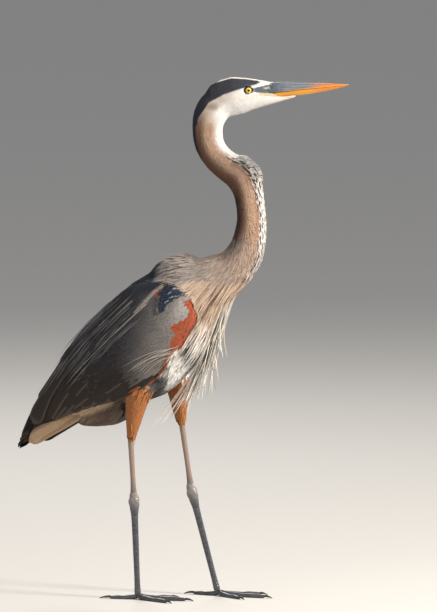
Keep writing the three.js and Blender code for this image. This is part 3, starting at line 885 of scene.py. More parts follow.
def put_on(piece, finish, slot, *nodes):
    """The piece's finish, the nodes it stands for, and the body it rides on; slot is not used."""
    piece.data.materials.append(finish)
    if nodes:
        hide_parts(*nodes)
    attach(piece, "root")
    return piece


finish_skin()
SKIN = grained("Skin under the feathers", 0.75, 500.0, 0.5, 0.4, 0.0005, specular=0.3)
put_on(skin, SKIN, "body_feathers", *FLESH)

# ---- Small feathers -------------------------------------------------------------------------------------


def bed(name, slot, spacing, length, width, keep, seed, steps=4, thick=0.5, sunk=2.5, proud=0.2, droop=0.0,
        finish=None, spread=0.1, shape=leaf, cup=0.18, ruffle=0.1, streaks=None, heading=None, stand=None):
    """A bed of small feathers over part of the form."""
    rng = np.random.default_rng(seed)
    roots = body.scatter(spacing, keep, seed)
    spots, normals = body.nearest(roots)
    seen = outer(spots, normals)
    roots, normals = roots[seen], normals[seen]
    count = len(roots)
    way = heading(roots) if heading else lie(roots, droop)
    way = unit(way + ruffle * rng.standard_normal((count, 3)))
    long_ = length * (1 + 0.14 * rng.standard_normal(count))
    lift = stand(roots) if stand else 0.0
    ribs, ups = carried(roots, way, long_, steps, sunk, proud + 0.3 * rng.random(count), flare=lift)
    middle = ribs[steps // 2]
    base = plumage(middle)
    if streaks:
        base = streaks(middle, base, rng)
    colour = tinted(base, steps, spread, seed, tip=1.06)
    wide = width * (1 + 0.12 * rng.standard_normal(count))
    piece = many(name, ribs, ups, wide, thick, shape, TUFT_SECTION, cup, colour)
    return put_on(piece, finish or SOFT_FEATHER, slot)


def run_between(low, high):
    """A test for points that far along the guide and clear of the wings."""
    def keep(points):
        run, _, _ = on_guide(points)
        return (run > low) & (run < high) & ~on_wing(points)
    return keep


def bare_face(points):
    """The lores and the rim of the eye, which have no feathers."""
    head = to_head(points)
    ahead, out, up = head[:, 0], abs(head[:, 1]), head[:, 2]
    low, high = lore_edges(ahead)
    lores = (ahead > 76) & (up > low - 0.6) & (up < high) & ((out > 3) | (ahead > 106))
    bill_base = (ahead > 128) & (up > 941)
    return (eye_distance(ahead, out, up) < EYE_RADIUS + EYE_RIM_WIDTH) | lores | bill_base


def head_feathers(points):
    run, _, _ = on_guide(points)
    return (run > PLACE["throat"] + 8) & ~bare_face(points)


def neck_streaks(points, base, rng):
    """Black and white dashes down the front of the neck and the breast, one shade for each feather."""
    run, angle, _ = on_guide(points)
    low_part = 1 - ease(run, PLACE["mid neck"], PLACE["kink below"])
    band = ease(abs(angle) - 0.16 * low_part, 2.2, 2.5)
    band *= ease(run, PLACE["shoulders"] - 80, PLACE["neck root"])
    band *= 1 - ease(run, PLACE["kink above"] - 4, PLACE["upper neck"] - 4)
    lane = angle * 30 + 2.3 * np.sin(run / 17)
    dash = np.sin(run / 3.2 + 2.4 * np.floor(lane / (2 * np.pi)))
    edge = 0.75 * ease(abs(angle), 2.55, 3.0) - 0.35
    inked = (np.sin(lane) + 0.6 * rng.standard_normal(len(points)) > edge) & (dash > -0.6)
    throat_side = ease(run, PLACE["kink"] - 6, PLACE["kink above"] - 6) * ease(abs(angle), 2.5, 2.9)
    pale_tone = toward(WHITE * 0.72, STREAK_BUFF, 1 - ease(run, PLACE["neck root"], PLACE["foreneck"]))
    base = toward(base, pale_tone, 0.7 * (~inked * band))
    return toward(base, STREAK_BLACK, 0.92 * (inked * band * (1 - 0.8 * throat_side)))


def lower_streaks(points, base, rng):
    """Pale filaments among the darker feathers of the lower neck and mantle."""
    run, _, _ = on_guide(points)
    share = 0.4 * ease(run, PLACE["shoulders"] - 30, PLACE["neck root"]) + 0.08
    pale = rng.random(len(points)) < share
    return neck_streaks(points, toward(base, STREAK_CREAM, 0.35 * pale), rng)


def ruffled_bend(points):
    """How far the feathers stand up on the front of the neck's bend."""
    run, angle, _ = on_guide(points)
    return 7.5 * within(run, PLACE["kink"] - 12, PLACE["kink above"] - 2, 9) * ease(abs(angle), 1.9, 2.8)


bed("coat_head", "face_feathers", 1.45, 6.5, 1.9, head_feathers, 11, steps=3, thick=0.3, sunk=1.2,
    proud=0.1, spread=0.05, ruffle=0.06)
upper_neck = run_between(PLACE["kink"] - 6, PLACE["throat"] + 16)
middle_neck = run_between(PLACE["foreneck"], PLACE["kink"])
lower_neck = run_between(PLACE["shoulders"] + 8, PLACE["foreneck"] + 6)
bed("coat_neck_upper", "neck_feathers", 2.1, 13, 2.5, upper_neck, 12, thick=0.4, sunk=2.2,
    streaks=neck_streaks, spread=0.07, ruffle=0.07, stand=ruffled_bend)
bed("coat_neck_middle", "neck_feathers", 2.2, 17, 2.7, middle_neck, 13, thick=0.4, sunk=2.4,
    streaks=neck_streaks, spread=0.08, ruffle=0.07, stand=ruffled_bend)
bed("coat_neck_lower", "neck_feathers", 2.7, 30, 2.9, lower_neck, 14, steps=5, thick=0.4, sunk=3.0,
    streaks=lower_streaks, spread=0.08, droop=0.15, shape=strand, ruffle=0.05)


BACK_ENDS = 1.75  # the angle from the back where the mantle meets the underparts


def on_trunk(points, rearmost):
    """Which points are on the trunk, clear of wings and thighs, and their angle from the back."""
    run, angle, _ = on_guide(points)
    here = (run < PLACE["shoulders"] + 16) & (points[:, 0] > rearmost)
    return here & ~on_wing(points) & ~on_thigh(points), abs(angle)


def mantle(points):
    here, angle = on_trunk(points, -160)
    return here & (angle < BACK_ENDS)


def underparts(points):
    here, angle = on_trunk(points, -150)
    return here & (angle >= BACK_ENDS)


def raised_hump(points):
    """How far the mantle's feathers stand up in the hump behind the neck."""
    return 5.5 * within(points[:, 0], 62, 104, 14) * ease(points[:, 2], 590, 625)


bed("coat_mantle", "body_feathers", 3.4, 34, 4.6, mantle, 15, steps=5, thick=0.35, sunk=3.2, shape=strand,
    streaks=neck_streaks, spread=0.035, ruffle=0.03, cup=0.08, stand=raised_hump)


def belly_streaks(points, base, rng):
    """A few darker feathers among the white ones."""
    dark = (rng.random(len(points)) < 0.16) & (points[:, 0] > -30)
    return toward(base, BLACK, 0.6 * dark)


def downward(points):
    return np.tile([0.0, 0.0, -1.0], (len(points), 1))


bed("coat_underparts", "body_feathers", 4.6, 34, 6.5, underparts, 16, steps=5, thick=0.6, sunk=3.6,
    streaks=belly_streaks, spread=0.08, droop=0.2, ruffle=0.1)
bed("coat_thighs", "thigh_feathers", 2.4, 15, 4.0, on_thigh, 17, thick=0.3, sunk=4.2, proud=-2.0,
    heading=downward, spread=0.05, ruffle=0.05)


def add_cuff(side):
    """The short feathers that close in over the top of the bare shin."""
    rng = np.random.default_rng(25 + SIDES[side])
    count, steps = 130, 7
    knee, top = shin_line(side)
    turn = rng.uniform(0, 2 * np.pi, count)
    out = np.stack([np.cos(turn), np.sin(turn), np.zeros(count)], -1)
    down = unit(knee - top)
    height = rng.uniform(-4, 20, count)[:, None]
    start = top - down * (height + 6) + out * 11
    end = top + down * (rng.uniform(2, 20, count)[:, None] - 0.5 * height) + out * 4.4
    start = body.nearest(start)[0] - out * 3.5
    lead = out * 0.6 + down * 0.5 * np.linalg.norm(end - start, axis=1)[:, None]
    ribs = curve_between(start, lead, end, steps)
    colour = tinted(np.tile(THIGH_COLOUR, (count, 1)), steps, 0.06, 26)
    ups, wide = np.broadcast_to(out, ribs.shape), np.full(count, 4.0)
    piece = many("thigh_cuff_" + side, ribs, ups, wide, 0.35, leaf, TUFT_SECTION, 0.18, colour)
    put_on(piece, SOFT_FEATHER, "thigh_feathers")


for side in SIDES:
    add_cuff(side)


# ---- Wings ----------------------------------------------------------------------------------------------

# The folded feathers draw together towards a point behind the tip. Places on the wing are given by how
# far they are from it and by their angle above the level: x, z.
WING_AIM = np.array([-300.0, 235.0])
BESIDE = 150.0  # clear of the bird, to the side


def wing_way(points):
    """The way to the aim in the side view."""
    return unit(upright(WING_AIM - points[:, [0, 2]]))


wing_surface = {}
for side in SIDES:
    shells = [f"wing_{side}_{part}" for part in ("coverts", "secondaries", "primaries")]
    wing_form = form_of("wing_form", [], shells)
    wing_surface[side] = Surface(wing_form.data)
    bpy.data.objects.remove(wing_form)


def fan_places(reach, turn):
    turn = np.radians(turn)
    return WING_AIM + np.stack([reach * np.cos(turn), reach * np.sin(turn)], -1)


def on_side(flat, side, surface=None):
    """The places of the side view that meet the wing's outer side, and which ones they are."""
    surface = surface or wing_surface[side]
    sign = SIDES[side]
    hits = [surface.tree.ray_cast(Vector((x, sign * BESIDE, z)), Vector((0, -sign, 0)))[0] for x, z in flat]
    met = [i for i, spot in enumerate(hits) if spot is not None]
    return np.array([hits[i] for i in met]), np.array(met)


def over(side):
    """What keeps feathers to the outer side of a wing."""
    return {"surface": wing_surface[side], "facing": np.array([0.0, SIDES[side], 0.25])}


# Rows of coverts: the first and last distance from the aim, the step, and each feather's length and width.
COVERT_ROWS = [
    ("lesser", 508, 405, 4.4, 14, 5.8),
    ("median", 412, 352, 12.0, 40, 11.0),
    ("greater", 350, 318, 14.0, 78, 16.0),
]
FAN_LOW, FAN_HIGH = 22.0, 57.0


def covert_places(first, last, step, width, rng):
    """Staggered rows across the wing."""
    places = []
    for k, reach in enumerate(np.arange(first, last, -step)):
        pitch = math.degrees(0.62 * width / reach)
        turns = np.arange(FAN_LOW + (k % 2) * pitch / 2, FAN_HIGH, pitch)
        turns = turns + 0.12 * pitch * rng.standard_normal(len(turns))
        places.append(fan_places(reach + 0.12 * step * rng.standard_normal(len(turns)), turns))
    return np.vstack(places)


def plumage_along(ribs):
    """The colour of the plumage at each step of each feather."""
    return plumage(ribs.reshape(-1, 3)).reshape(ribs.shape)


def add_coverts(side):
    rng = np.random.default_rng(60 + SIDES[side])
    steps = 7
    for k, (row, first, last, step, length, width) in enumerate(COVERT_ROWS):
        roots, _ = on_side(covert_places(first, last, step, width, rng), side)
        roots = roots[inside_loop(roots, WING_LOOP)]
        count = len(roots)
        long_ = length * (1 + 0.08 * rng.standard_normal(count))
        way = unit(wing_way(roots) + 0.03 * rng.standard_normal((count, 3)))
        proud = 0.9 + 0.5 * k + 0.25 * rng.random(count)
        ribs, ups = carried(roots, way, long_, steps, 1.5, proud, **over(side))
        colour = tinted(plumage_along(ribs), steps, 0.06, 70 + k, tip=1.1)
        wide = width * (1 + 0.06 * rng.standard_normal(count))
        piece = many(f"coverts_{row}_{side}", ribs, ups, wide, 0.7, leaf, VANE_SECTION, 0.16, colour)
        put_on(piece, COVERT_FEATHER, "wing_feathers", *([f"wing_{side}_coverts"] if k == 0 else []))


# Where the tips of the flight feathers lie: x, z, then length and width. The lowest feather comes first.
SECONDARY_TIPS = [
    (-64, 368, 108, 24), (-93, 358, 132, 27), (-120, 349, 144, 28), (-146, 340, 156, 29),
    (-170, 334, 166, 30), (-190, 327, 174, 30), (-208, 320, 182, 31), (-222, 318, 190, 31),
    (-232, 324, 194, 31), (-239, 338, 194, 31), (-240, 354, 190, 31), (-236, 370, 182, 30),
    (-228, 388, 172, 30), (-216, 404, 165, 28),
]
PRIMARY_TIPS = [
    (-224, 303, 150, 21), (-234, 291, 156, 21), (-243, 280, 164, 21), (-250, 270, 172, 21),
    (-258, 264, 178, 20), (-262, 272, 184, 20), (-263, 286, 184, 20), (-262, 302, 178, 20),
    (-258, 320, 168, 20),
]
STACK = 0.3  # how much higher each flight feather lies than the one below it
VANE_TILT = 0.05


QUILL_STEPS = 26


def add_quills(part, side, tips, lift, slot, seed, colour_of):
    """One row of flight feathers, each over the one before it."""
    tips = np.array(tips, float)
    flat = tips[:, :2]
    away = unit(flat - WING_AIM)
    roots, met = on_side(flat + away * tips[:, 2:3], side)
    tips = tips[met]
    proud = lift + STACK * np.arange(len(roots))
    length = tips[:, 2]
    for _ in range(2):  # the second time with lengths that bring the tips to their places
        ribs, ups = carried(roots, wing_way(roots), length, QUILL_STEPS, 0.6, proud, snap=14, **over(side))
        gained = np.linalg.norm((ribs[-1] - ribs[0])[:, [0, 2]], axis=1)
        length = length * tips[:, 2] / gained
    across = unit(np.cross(ups, unit(np.gradient(ribs, axis=0))))
    ups = unit(ups + SIDES[side] * VANE_TILT * across)
    colour = tinted(colour_of(ribs[QUILL_STEPS // 2]), QUILL_STEPS, 0.05, seed)
    piece = many(f"{part}_{side}", ribs, ups, tips[:, 3], 0.9, blade, VANE_SECTION, 0.1, colour)
    put_on(piece, FLIGHT_FEATHER, slot, f"wing_{side}_{part}")


QUILL_BROWN, QUILL_BLACK = ink("2c241e"), ink("0f0b09")


def primary_colour(points):
    return np.tile(QUILL_BLACK, (len(points), 1))


def secondary_colour(points):
    return toward(QUILL_BROWN, WING_SLATE, ease(points[:, 2], 360, 470))


for side in SIDES:
    add_quills("primaries", side, PRIMARY_TIPS, 0.4, "primary_feathers", 81, primary_colour)
    add_quills("secondaries", side, SECONDARY_TIPS, 1.6, "wing_feathers", 82, secondary_colour)
    add_coverts(side)


# ---- Plumes ---------------------------------------------------------------------------------------------

SILVER, SILVER_DARK = ink("a39c95"), ink("2a2a2e")
SCAPULARS, HANGING_PLUMES, WISPS = 150, 105, 10


def over_the_form(ribs, clear):
    """Ribs lifted to lie at least so far outside the form."""
    flat = ribs.reshape(-1, 3)
    spots, normals = body.nearest(flat)
    depth = ((flat - spots) * normals).sum(-1)
    need = np.where((depth < clear) & (np.linalg.norm(flat - spots, axis=1) < 40), clear - depth, 0)
    return (flat + normals * need[:, None]).reshape(ribs.shape)


def add_scapulars(side):
    """Long loose plumes that hang from the shoulder over the wing, silver on dark."""
    rng = np.random.default_rng(90 + SIDES[side])
    steps = 22
    reach = rng.uniform(330, 462, SCAPULARS)
    turn = rng.uniform(45, 58, SCAPULARS) - 4 * ease(reach, 400, 470)
    roots, _ = on_side(fan_places(reach, turn), side)
    count = len(roots)
    length = rng.uniform(80, 160, count)
    way = unit(wing_way(roots) + 0.035 * rng.standard_normal((count, 3)))
    proud = 4.2 + 1.6 * rng.random(count)
    ribs, ups = carried(roots, way, length, steps, 1.0, proud, snap=14, **over(side))
    silvered = rng.random(count) ** 3.5
    colour = tinted(toward(SILVER_DARK, SILVER, silvered), steps, 0.06, 91, tip=1.25)
    wide = rng.uniform(1.6, 2.4, count) + 2.4 * (1 - silvered) ** 4
    piece = many("scapulars_" + side, ribs, ups, wide, 0.6, strand, VANE_SECTION, 0.2, colour)
    put_on(piece, PLUME_FEATHER, "plumes")


def add_epaulette(side):
    """Small blue-black feathers at the bend of the wing, over the mantle's edge; the pale-blue streaks
    across them are partly their own and partly painted gloss.
    """
    rng = np.random.default_rng(95 + SIDES[side])
    grid = np.stack(np.meshgrid(np.arange(36, 96, 3.0), np.arange(532, 596, 3.0)), -1).reshape(-1, 2)
    grid = grid + rng.uniform(-1.2, 1.2, grid.shape)
    chosen = inside_loop(upright(grid), smooth_line(EPAULETTE, 60))
    roots, _ = on_side(grid[chosen] - 5 * WING_LIE, side)
    count, steps = len(roots), 5
    way = unit(wing_way(roots) + 0.1 * rng.standard_normal((count, 3)))
    ribs, ups = carried(roots, way, np.full(count, 12.0), steps, 0.5, 3.0 + rng.random(count), **over(side))
    colour = tinted(plumage_along(ribs), steps, 0.12, 96, tip=1.1)
    piece = many("epaulette_" + side, ribs, ups, np.full(count, 3.6), 0.5, leaf, VANE_SECTION, 0.16, colour)
    put_on(piece, SOFT_FEATHER, "wing_feathers")


for side in SIDES:
    add_scapulars(side)
    add_epaulette(side)

# Where the hanging plumes end: x, y, z.
PLUME_TIPS = np.array([
    (141, 5, 452), (126, -14, 418), (111, 12, 379), (92, -4, 372), (76, -22, 362), (56, 20, 366),
    (22, -27, 327), (104, -20, 398), (66, -8, 352), (40, -18, 342),
], float)
PLUME_WAY, HANG_WAY = np.array([-0.62, 0.0, -0.78]), unit(np.array([-0.35, 0.0, -0.93]))
PALE_CREAM, CREAM_BROWN, PLUME_BUFF = ink("cfc4b6"), ink("a08772"), ink("bfa793")
PLUME_BROWN = ink("6e5b4d")


def breast_places(points):
    x, y, z = points.T
    front = (z > 404) & (z < 600) & (x + 0.9 * (z - 560) > 60)
    return front & ~on_wing(points) & (abs(y) < 62)


def room_before_wing(roots, way, longest):
    """How far each feather can reach before its tip would lie over the wing."""
    room = np.full(len(roots), longest)
    for reach in np.arange(longest, 0, -4.0):
        room[on_wing(roots + way * reach)] = reach
    return room


def add_breast_plumes():
    """Long lanceolate feathers from the foot of the neck down over the breast, black, cream and white."""
    rng = np.random.default_rng(101)
    roots = body.scatter(5.2, breast_places, 103)
    spots, normals = body.nearest(roots)
    roots = roots[outer(spots, normals)]
    inward = roots * [0, -0.0016, 0]
    way = unit(PLUME_WAY + inward + 0.06 * rng.standard_normal((len(roots), 3)))
    length = np.minimum(rng.uniform(46, 92, len(roots)), room_before_wing(roots, way, 96.0) + 6)
    wanted = length > 24
    roots, way, length = roots[wanted], way[wanted], length[wanted]
    count = len(roots)
    steps = 12
    ribs, ups = carried(roots, way, length, steps, 1.0, 1.6 + 2.2 * rng.random(count), snap=5.0)
    x, _, z = ribs[steps // 2].T
    lane = np.sin(roots[:, 1] * 0.33 + 1.1 * np.sin(roots[:, 2] / 37)) + 0.9 * rng.standard_normal(count)
    height = ease(z, 470, 540)
    pale, middling = toward(WHITE, PLUME_BUFF, height), toward(PALE_CREAM, CREAM_BROWN, height)
    darkest = toward(BLACK, PLUME_BROWN, height)
    base = np.where((lane > 1.3)[:, None], darkest, np.where((lane > 0.4)[:, None], middling, pale))
    dark = within(x - 0.35 * (z - 390), -6, 44, 8) * (1 - ease(z, 416, 446))
    base = toward(base, BLACK, 0.92 * dark * (rng.random(count) < 0.7))
    colour = tinted(base, steps, 0.06, 102, tip=1.05)
    wide = rng.uniform(3.0, 5.0, count)
    piece = many("breast_lanceolates", ribs, ups, wide, 0.6, strand, VANE_SECTION, 0.2, colour)
    put_on(piece, PLUME_FEATHER, "plumes", "breast_plumes")


add_breast_plumes()


def add_hanging_plumes():
    """Loose plumes that hang free below the breast."""
    rng = np.random.default_rng(111)
    count, steps = HANGING_PLUMES, 20
    pick = rng.integers(0, len(PLUME_TIPS), count)
    end = PLUME_TIPS[pick] + rng.normal(0, [7, 5, 6], (count, 3))
    start = [rng.uniform(low, high, count) for low, high in ((145, 183), (-22, 22), (490, 556))]
    spots, normals = body.nearest(np.stack(start, -1))
    reach = np.linalg.norm(end - spots, axis=1)[:, None]
    ribs = over_the_form(curve_between(spots, HANG_WAY * reach * 0.5, end, steps), 1.5)
    ups = unit(np.broadcast_to(normals, ribs.shape) + 0.5 * rng.standard_normal((1, count, 3)))
    tone = rng.random(count)[:, None]
    base = np.where(tone < 0.15, ink("6d665f"), np.where(tone < 0.4, ink("c9beb0"), ink("f0e9df")))
    colour = tinted(base, steps, 0.05, 112)
    wide = rng.uniform(1.6, 3.0, count)
    piece = many("hanging_plumes", ribs, ups, wide, 0.6, filament, TUFT_SECTION, 0.1, colour)
    put_on(piece, PLUME_FEATHER, "plumes")


add_hanging_plumes()

# In the side view, x and z: where the wisps leave the breast and end, and the line under the wing's front.
WISP_STARTS, WISP_ENDS = np.array([(80, 478), (62, 452)], float), np.array([(-18, 440), (14, 424)], float)
RUFOUS_EDGE = [(68, 470), (58, 452), (45, 431), (22, 409), (-8, 392)]


def add_wisps(side):
    """Thin pale plumes that stray back from the breast over the wing."""
    rng = np.random.default_rng(131 + SIDES[side])
    count, steps = WISPS, 16
    share = rng.random(count)[:, None]
    start = WISP_STARTS[0] + (WISP_STARTS[1] - WISP_STARTS[0]) * share
    end = WISP_ENDS[0] + (WISP_ENDS[1] - WISP_ENDS[0]) * share + rng.normal(0, 7, (count, 2))
    v = np.linspace(0, 1, steps)[:, None, None]
    flat = start + (end - start) * v
    flat[..., 1] += 7 * np.sin(np.pi * v[..., 0])
    ribs = upright(flat, SIDES[side] * 66.0)
    spots, normals = wing_surface[side].nearest(ribs.reshape(-1, 3))
    ribs = (spots + normals * rng.uniform(1.5, 4.0, (len(spots), 1))).reshape(ribs.shape)
    ribs[1:-1] = (ribs[:-2] + ribs[1:-1] + ribs[2:]) / 3
    colour = tinted(np.tile(ink("bdb3a7"), (count, 1)), steps, 0.08, 132)
    ups, wide = normals.reshape(ribs.shape), rng.uniform(0.8, 1.4, count)
    piece = many("wisps_" + side, ribs, ups, wide, 0.4, filament, TUFT_SECTION, 0.1, colour)
    put_on(piece, PLUME_FEATHER, "plumes")


def add_rufous_edge(side):
    """A line of rufous feathers under the front of the wing."""
    rng = np.random.default_rng(141 + SIDES[side])
    count, steps = 44, 5
    line = smooth_line(RUFOUS_EDGE, count)
    roots, _ = on_side(line + rng.normal(0, 0.6, line.shape), side, body)
    way = upright(unit(np.gradient(line, axis=0)))
    ribs, ups = carried(roots, way, rng.uniform(14, 20, count), steps, 0.5, 1.6 + rng.random(count), snap=6)
    colour = tinted(np.tile(ink("8e4f2c"), (count, 1)), steps, 0.1, 142)
    wide = np.full(count, 2.6)
    piece = many("rufous_edge_" + side, ribs, ups, wide, 0.5, leaf, TUFT_SECTION, 0.16, colour)
    put_on(piece, SOFT_FEATHER, "wing_feathers")


for side in SIDES:
    add_wisps(side)
    add_rufous_edge(side)

# ---- Tail -----------------------------------------------------------------------------------------------

# The tail's fan: x, z, half width and half depth.
TAIL_FAN = np.array(
    [(-96, 362, 22, 15), (-150, 327, 28, 18), (-196, 300, 32, 18), (-224, 283, 33, 16)], float
)
TAIL_PAIRS, TAIL_TURN = 6, 88
TAIL_PALE, TAIL_BROWN = ink("b89878"), ink("77685a")


def add_tail():
    steps = 24
    line = smooth_line(TAIL_FAN, steps)
    turns = np.radians(np.linspace(-TAIL_TURN, TAIL_TURN, 2 * TAIL_PAIRS))
    inward = 1 - abs(turns) / np.radians(TAIL_TURN)
    ribs = np.empty((steps, len(turns), 3))
    ups = np.empty_like(ribs)
    v = np.linspace(0, 1, steps)
    spread = line[:, 2] * (0.45 + 0.55 * v)
    for k, turn in enumerate(turns):
        height = line[:, 1] + line[:, 3] * math.cos(turn) - 1.0 + 1.6 * inward[k]
        ribs[:, k] = np.stack([line[:, 0] + 4 * inward[k] - 4, spread * math.sin(turn), height], -1)
        ups[:, k] = unit(np.array([0.3, math.sin(turn), math.cos(turn)]))
    colour = tinted(toward(TAIL_PALE, TAIL_BROWN, inward**0.7), steps, 0.04, 121)
    wide = np.full(len(turns), 25.0)
    piece = many("tail_feathers", ribs, ups, wide, 0.9, blade, VANE_SECTION, 0.1, colour)
    put_on(piece, TAIL_FEATHER, "tail_feathers", "tail")


add_tail()

# ---- Bill, eyes and legs: spheres whose rings are carried along a line ----------------------------------


LINE_STEPS = 400


def carried_sphere(stations, around, rings, end_round=0.04, shape_ring=None):
    """A sphere drawn out along a line. Stations are x, y, z, half the width and half the depth, end_round
    is the share of the length that rounds each end, and shape_ring may alter each ring."""
    shape = bmesh.new()
    bmesh.ops.create_uvsphere(shape, u_segments=around, v_segments=rings, radius=1)
    co = np.array([v.co for v in shape.verts])
    share = np.arccos(np.clip(co[:, 2], -1, 1)) / math.pi
    t = share - 0.5 * np.sin(2 * math.pi * share) / (2 * math.pi)
    size = np.maximum(np.hypot(co[:, 0], co[:, 1]), 1e-6)
    near_end = np.minimum(np.minimum(t, 1 - t) / end_round, 1)
    close = np.where(size < 1e-5, 0, np.sqrt(near_end * (2 - near_end)))
    line = smooth_line(stations, LINE_STEPS)
    even = np.linspace(0, 1, LINE_STEPS)
    at = np.stack([np.interp(t, even, column) for column in line.T], -1)
    way = unit(np.gradient(line[:, :3], axis=0))
    ahead = np.stack([np.interp(t, even, column) for column in way.T], -1)
    across = flat_on(np.broadcast_to([0.0, 1.0, 0.0], ahead.shape), ahead)
    up = np.cross(ahead, across)
    a, b = co[:, 0] / size * at[:, 3], co[:, 1] / size * at[:, 4]
    if shape_ring:
        a, b = shape_ring(a, b, t, at)
    points = at[:, :3] + across * (a * close)[:, None] + up * (b * close)[:, None]
    return shape, points


def made(name, shape, points, colour):
    """The shape with its vertices at these points of the bird, as a piece with its colours."""
    for v, p in zip(shape.verts, in_frame(points)):
        v.co = p
    bmesh.ops.recalc_face_normals(shape, faces=shape.faces)
    mesh = bpy.data.meshes.new(name)
    shape.to_mesh(mesh)
    shape.free()
    for face in mesh.polygons:
        face.use_smooth = True
    paint(mesh, colour)
    return linked(mesh, name)


def horn_material(name, roughness, scale, contrast, coat):
    return grained(name, roughness, scale, contrast, 0.25, 0.0003, coat=coat, coat_roughness=0.25)


HORN = horn_material("Bill horn", 0.38, 260.0, 0.35, 0.25)
SCALES = horn_material("Leg scales", 0.36, 420.0, 1.1, 0.3)
CLAW_HORN = horn_material("Claw horn", 0.32, 300.0, 0.4, 0.3)
SHIN_SKIN = horn_material("Shin skin", 0.62, 420.0, 0.5, 0.0)
EYE_GLOSS, eye_graph, eye_shader = material("Eye", 0.12, coat=1.0, coat_roughness=0.02)
eye_graph.put(eye_graph.plumage(), eye_shader.inputs["Base Color"])

MANDIBLE, GAPE_RED, MANDIBLE_BASE = ink("e8a32e"), ink("c4481a"), ink("b59a5a")
GAPE_GAP = 0.2  # how far each half of the bill stays from the line of the gape


def add_bill(part, slot):
    upper = part == "bill_upper"
    stations = [(d, 0, z, w, h) for d, z, w, h in BILL]

    def ridge(a, b, t, at):
        top = np.clip(b / at[:, 4], -1, 1)
        narrow = 1 - 0.22 * np.clip(top, 0, 1) ** 1.5 - 0.12 * np.clip(-top, 0, 1) ** 2
        return a * narrow, b

    shape, points = carried_sphere(stations, 56, 150, 0.03, ridge)
    d, y, z = points.T
    gape = np.interp(d, *np.array(GAPE).T)
    tip = ease(d, 165, 215)
    if upper:
        z = np.maximum(z, gape + GAPE_GAP)
        nostril = within(d, 126, 146, 2.5) * within(z - 0.06 * (d - 126), 952.2, 954.0, 0.6)
        y = y * (1 - 0.22 * nostril)
        streak = 0.5 + 0.5 * np.sin(z * 2.1 + 0.35 * np.sin(d / 9))
        base = toward(BILL_SLATE, BILL_PALE, 0.75 * streak**2 * ease(d, 112, 140))
        base = toward(base, BILL_ORANGE, 0.9 * tip * (0.55 + 0.45 * ease(gape + 7 - z, 0, 5)))
        base = toward(base, MANDIBLE, 0.75 * ease(gape + 2.4 - z, 0, 1.6) * ease(d, 120, 150))
    else:
        z = np.minimum(z, gape - GAPE_GAP)
        base = toward(MANDIBLE, BILL_ORANGE, 0.7 * tip)
        base = toward(base, GAPE_RED, 0.6 * ease(z - gape + 2.0, 0, 1.4))
        base = toward(base, MANDIBLE_BASE, 0.6 * (1 - ease(d, 100, 132)))
    put_on(made(part + "_horn", shape, from_head(np.stack([d, y, z], -1)), base), HORN, slot, part)


add_bill("bill_upper", "bill")
add_bill("bill_lower", "mandible")

IRIS, IRIS_DEEP, PUPIL, EYE_RIM = ink("f2c321"), ink("d88a10"), ink("060606"), ink("141210")
PUPIL_EDGE, IRIS_EDGE = 19.5, 45  # degrees from the middle of the eye's front


def add_eye(side):
    """A ball whose cornea, iris and pupil look out to the side and a little ahead."""
    sign = SIDES[side]
    shape = bmesh.new()
    bmesh.ops.create_uvsphere(shape, u_segments=64, v_segments=64, radius=EYE_RADIUS)
    co = np.array([v.co for v in shape.verts])
    look = unit(np.array([0.2, sign, -0.04]))
    side_way = unit(np.cross([0.0, 0.0, 1.0], look))
    top = np.cross(look, side_way)
    bulge = 1 + 0.045 * ease(co[:, 2] / EYE_RADIUS, 0.72, 0.95)
    spot = (co * bulge[:, None]) @ np.stack([side_way, top, look])
    place = from_head(spot + [EYE_AHEAD, sign * EYE_OUT, EYE_HEIGHT])
    off = np.degrees(np.arccos(np.clip(co[:, 2] / EYE_RADIUS, -1, 1)))
    rng = np.random.default_rng(7)
    colour = toward(IRIS, IRIS_DEEP, 0.25 * rng.random(len(co)) + 0.5 * ease(off, 33, IRIS_EDGE))
    colour = np.where((off < PUPIL_EDGE)[:, None], PUPIL, colour)
    colour = np.where((off > IRIS_EDGE)[:, None], EYE_RIM, colour)
    put_on(made("eye_ball_" + side, shape, place, colour), EYE_GLOSS, "eye", "eye_" + side)


for side in SIDES:
    add_eye(side)

# The pale blue-grey among these is for painted highlights on the scales.
TARSUS_DARK, TARSUS_GLINT, HOCK_GREY = ink("3b3b3f"), ink("7c8290"), ink("857e79")
SHIN_PINK, SHIN_GREY, CLAW_BLACK = ink("8a766a"), ink("6f655f"), ink("1b1816")
FLOOR_GAP = 0.02

# Along each bone from its lower end: the share of its length, half width and half depth.
TARSUS_GIRTHS = [
    (0.035, 7.2, 7.2), (0.09, 6.0, 6.0), (0.2, 4.6, 5.4), (0.5, 4.4, 5.8), (0.8, 4.8, 6.6),
    (0.89, 6.4, 8.8), (0.96, 7.2, 10.4), (1.02, 6.0, 8.0), (1.07, 4.8, 6.0),
]
SHIN_GIRTHS = [(0.25, 4.3, 4.8), (0.65, 4.4, 5.0), (1, 5.0, 5.6)]
# Along each toe: the share of its length, then its height, half width and half depth in toe radii.
TOE_GIRTHS = [
    (0, 1.6, 1.1, 1.1), (0.14, 1.1, 1, 1.05), (0.4, 0.72, 1.05, 1.05), (0.55, 0.62, 0.86, 0.9),
    (0.72, 0.68, 0.98, 0.98), (0.88, 0.6, 0.78, 0.84), (1, 0.6, 0.66, 0.74),
]
SCUTE_STEP, PAD_STEP = 5.4, 4.2  # the pitch of the scales down the shank and of the pads under a toe


def foot_place(side):
    return np.array([FOOT[side][0], SIDES[side] * FOOT[side][1], 0])


def along(low, high, girths):
    return [(*(low + (high - low) * s), w, h) for s, w, h in girths]


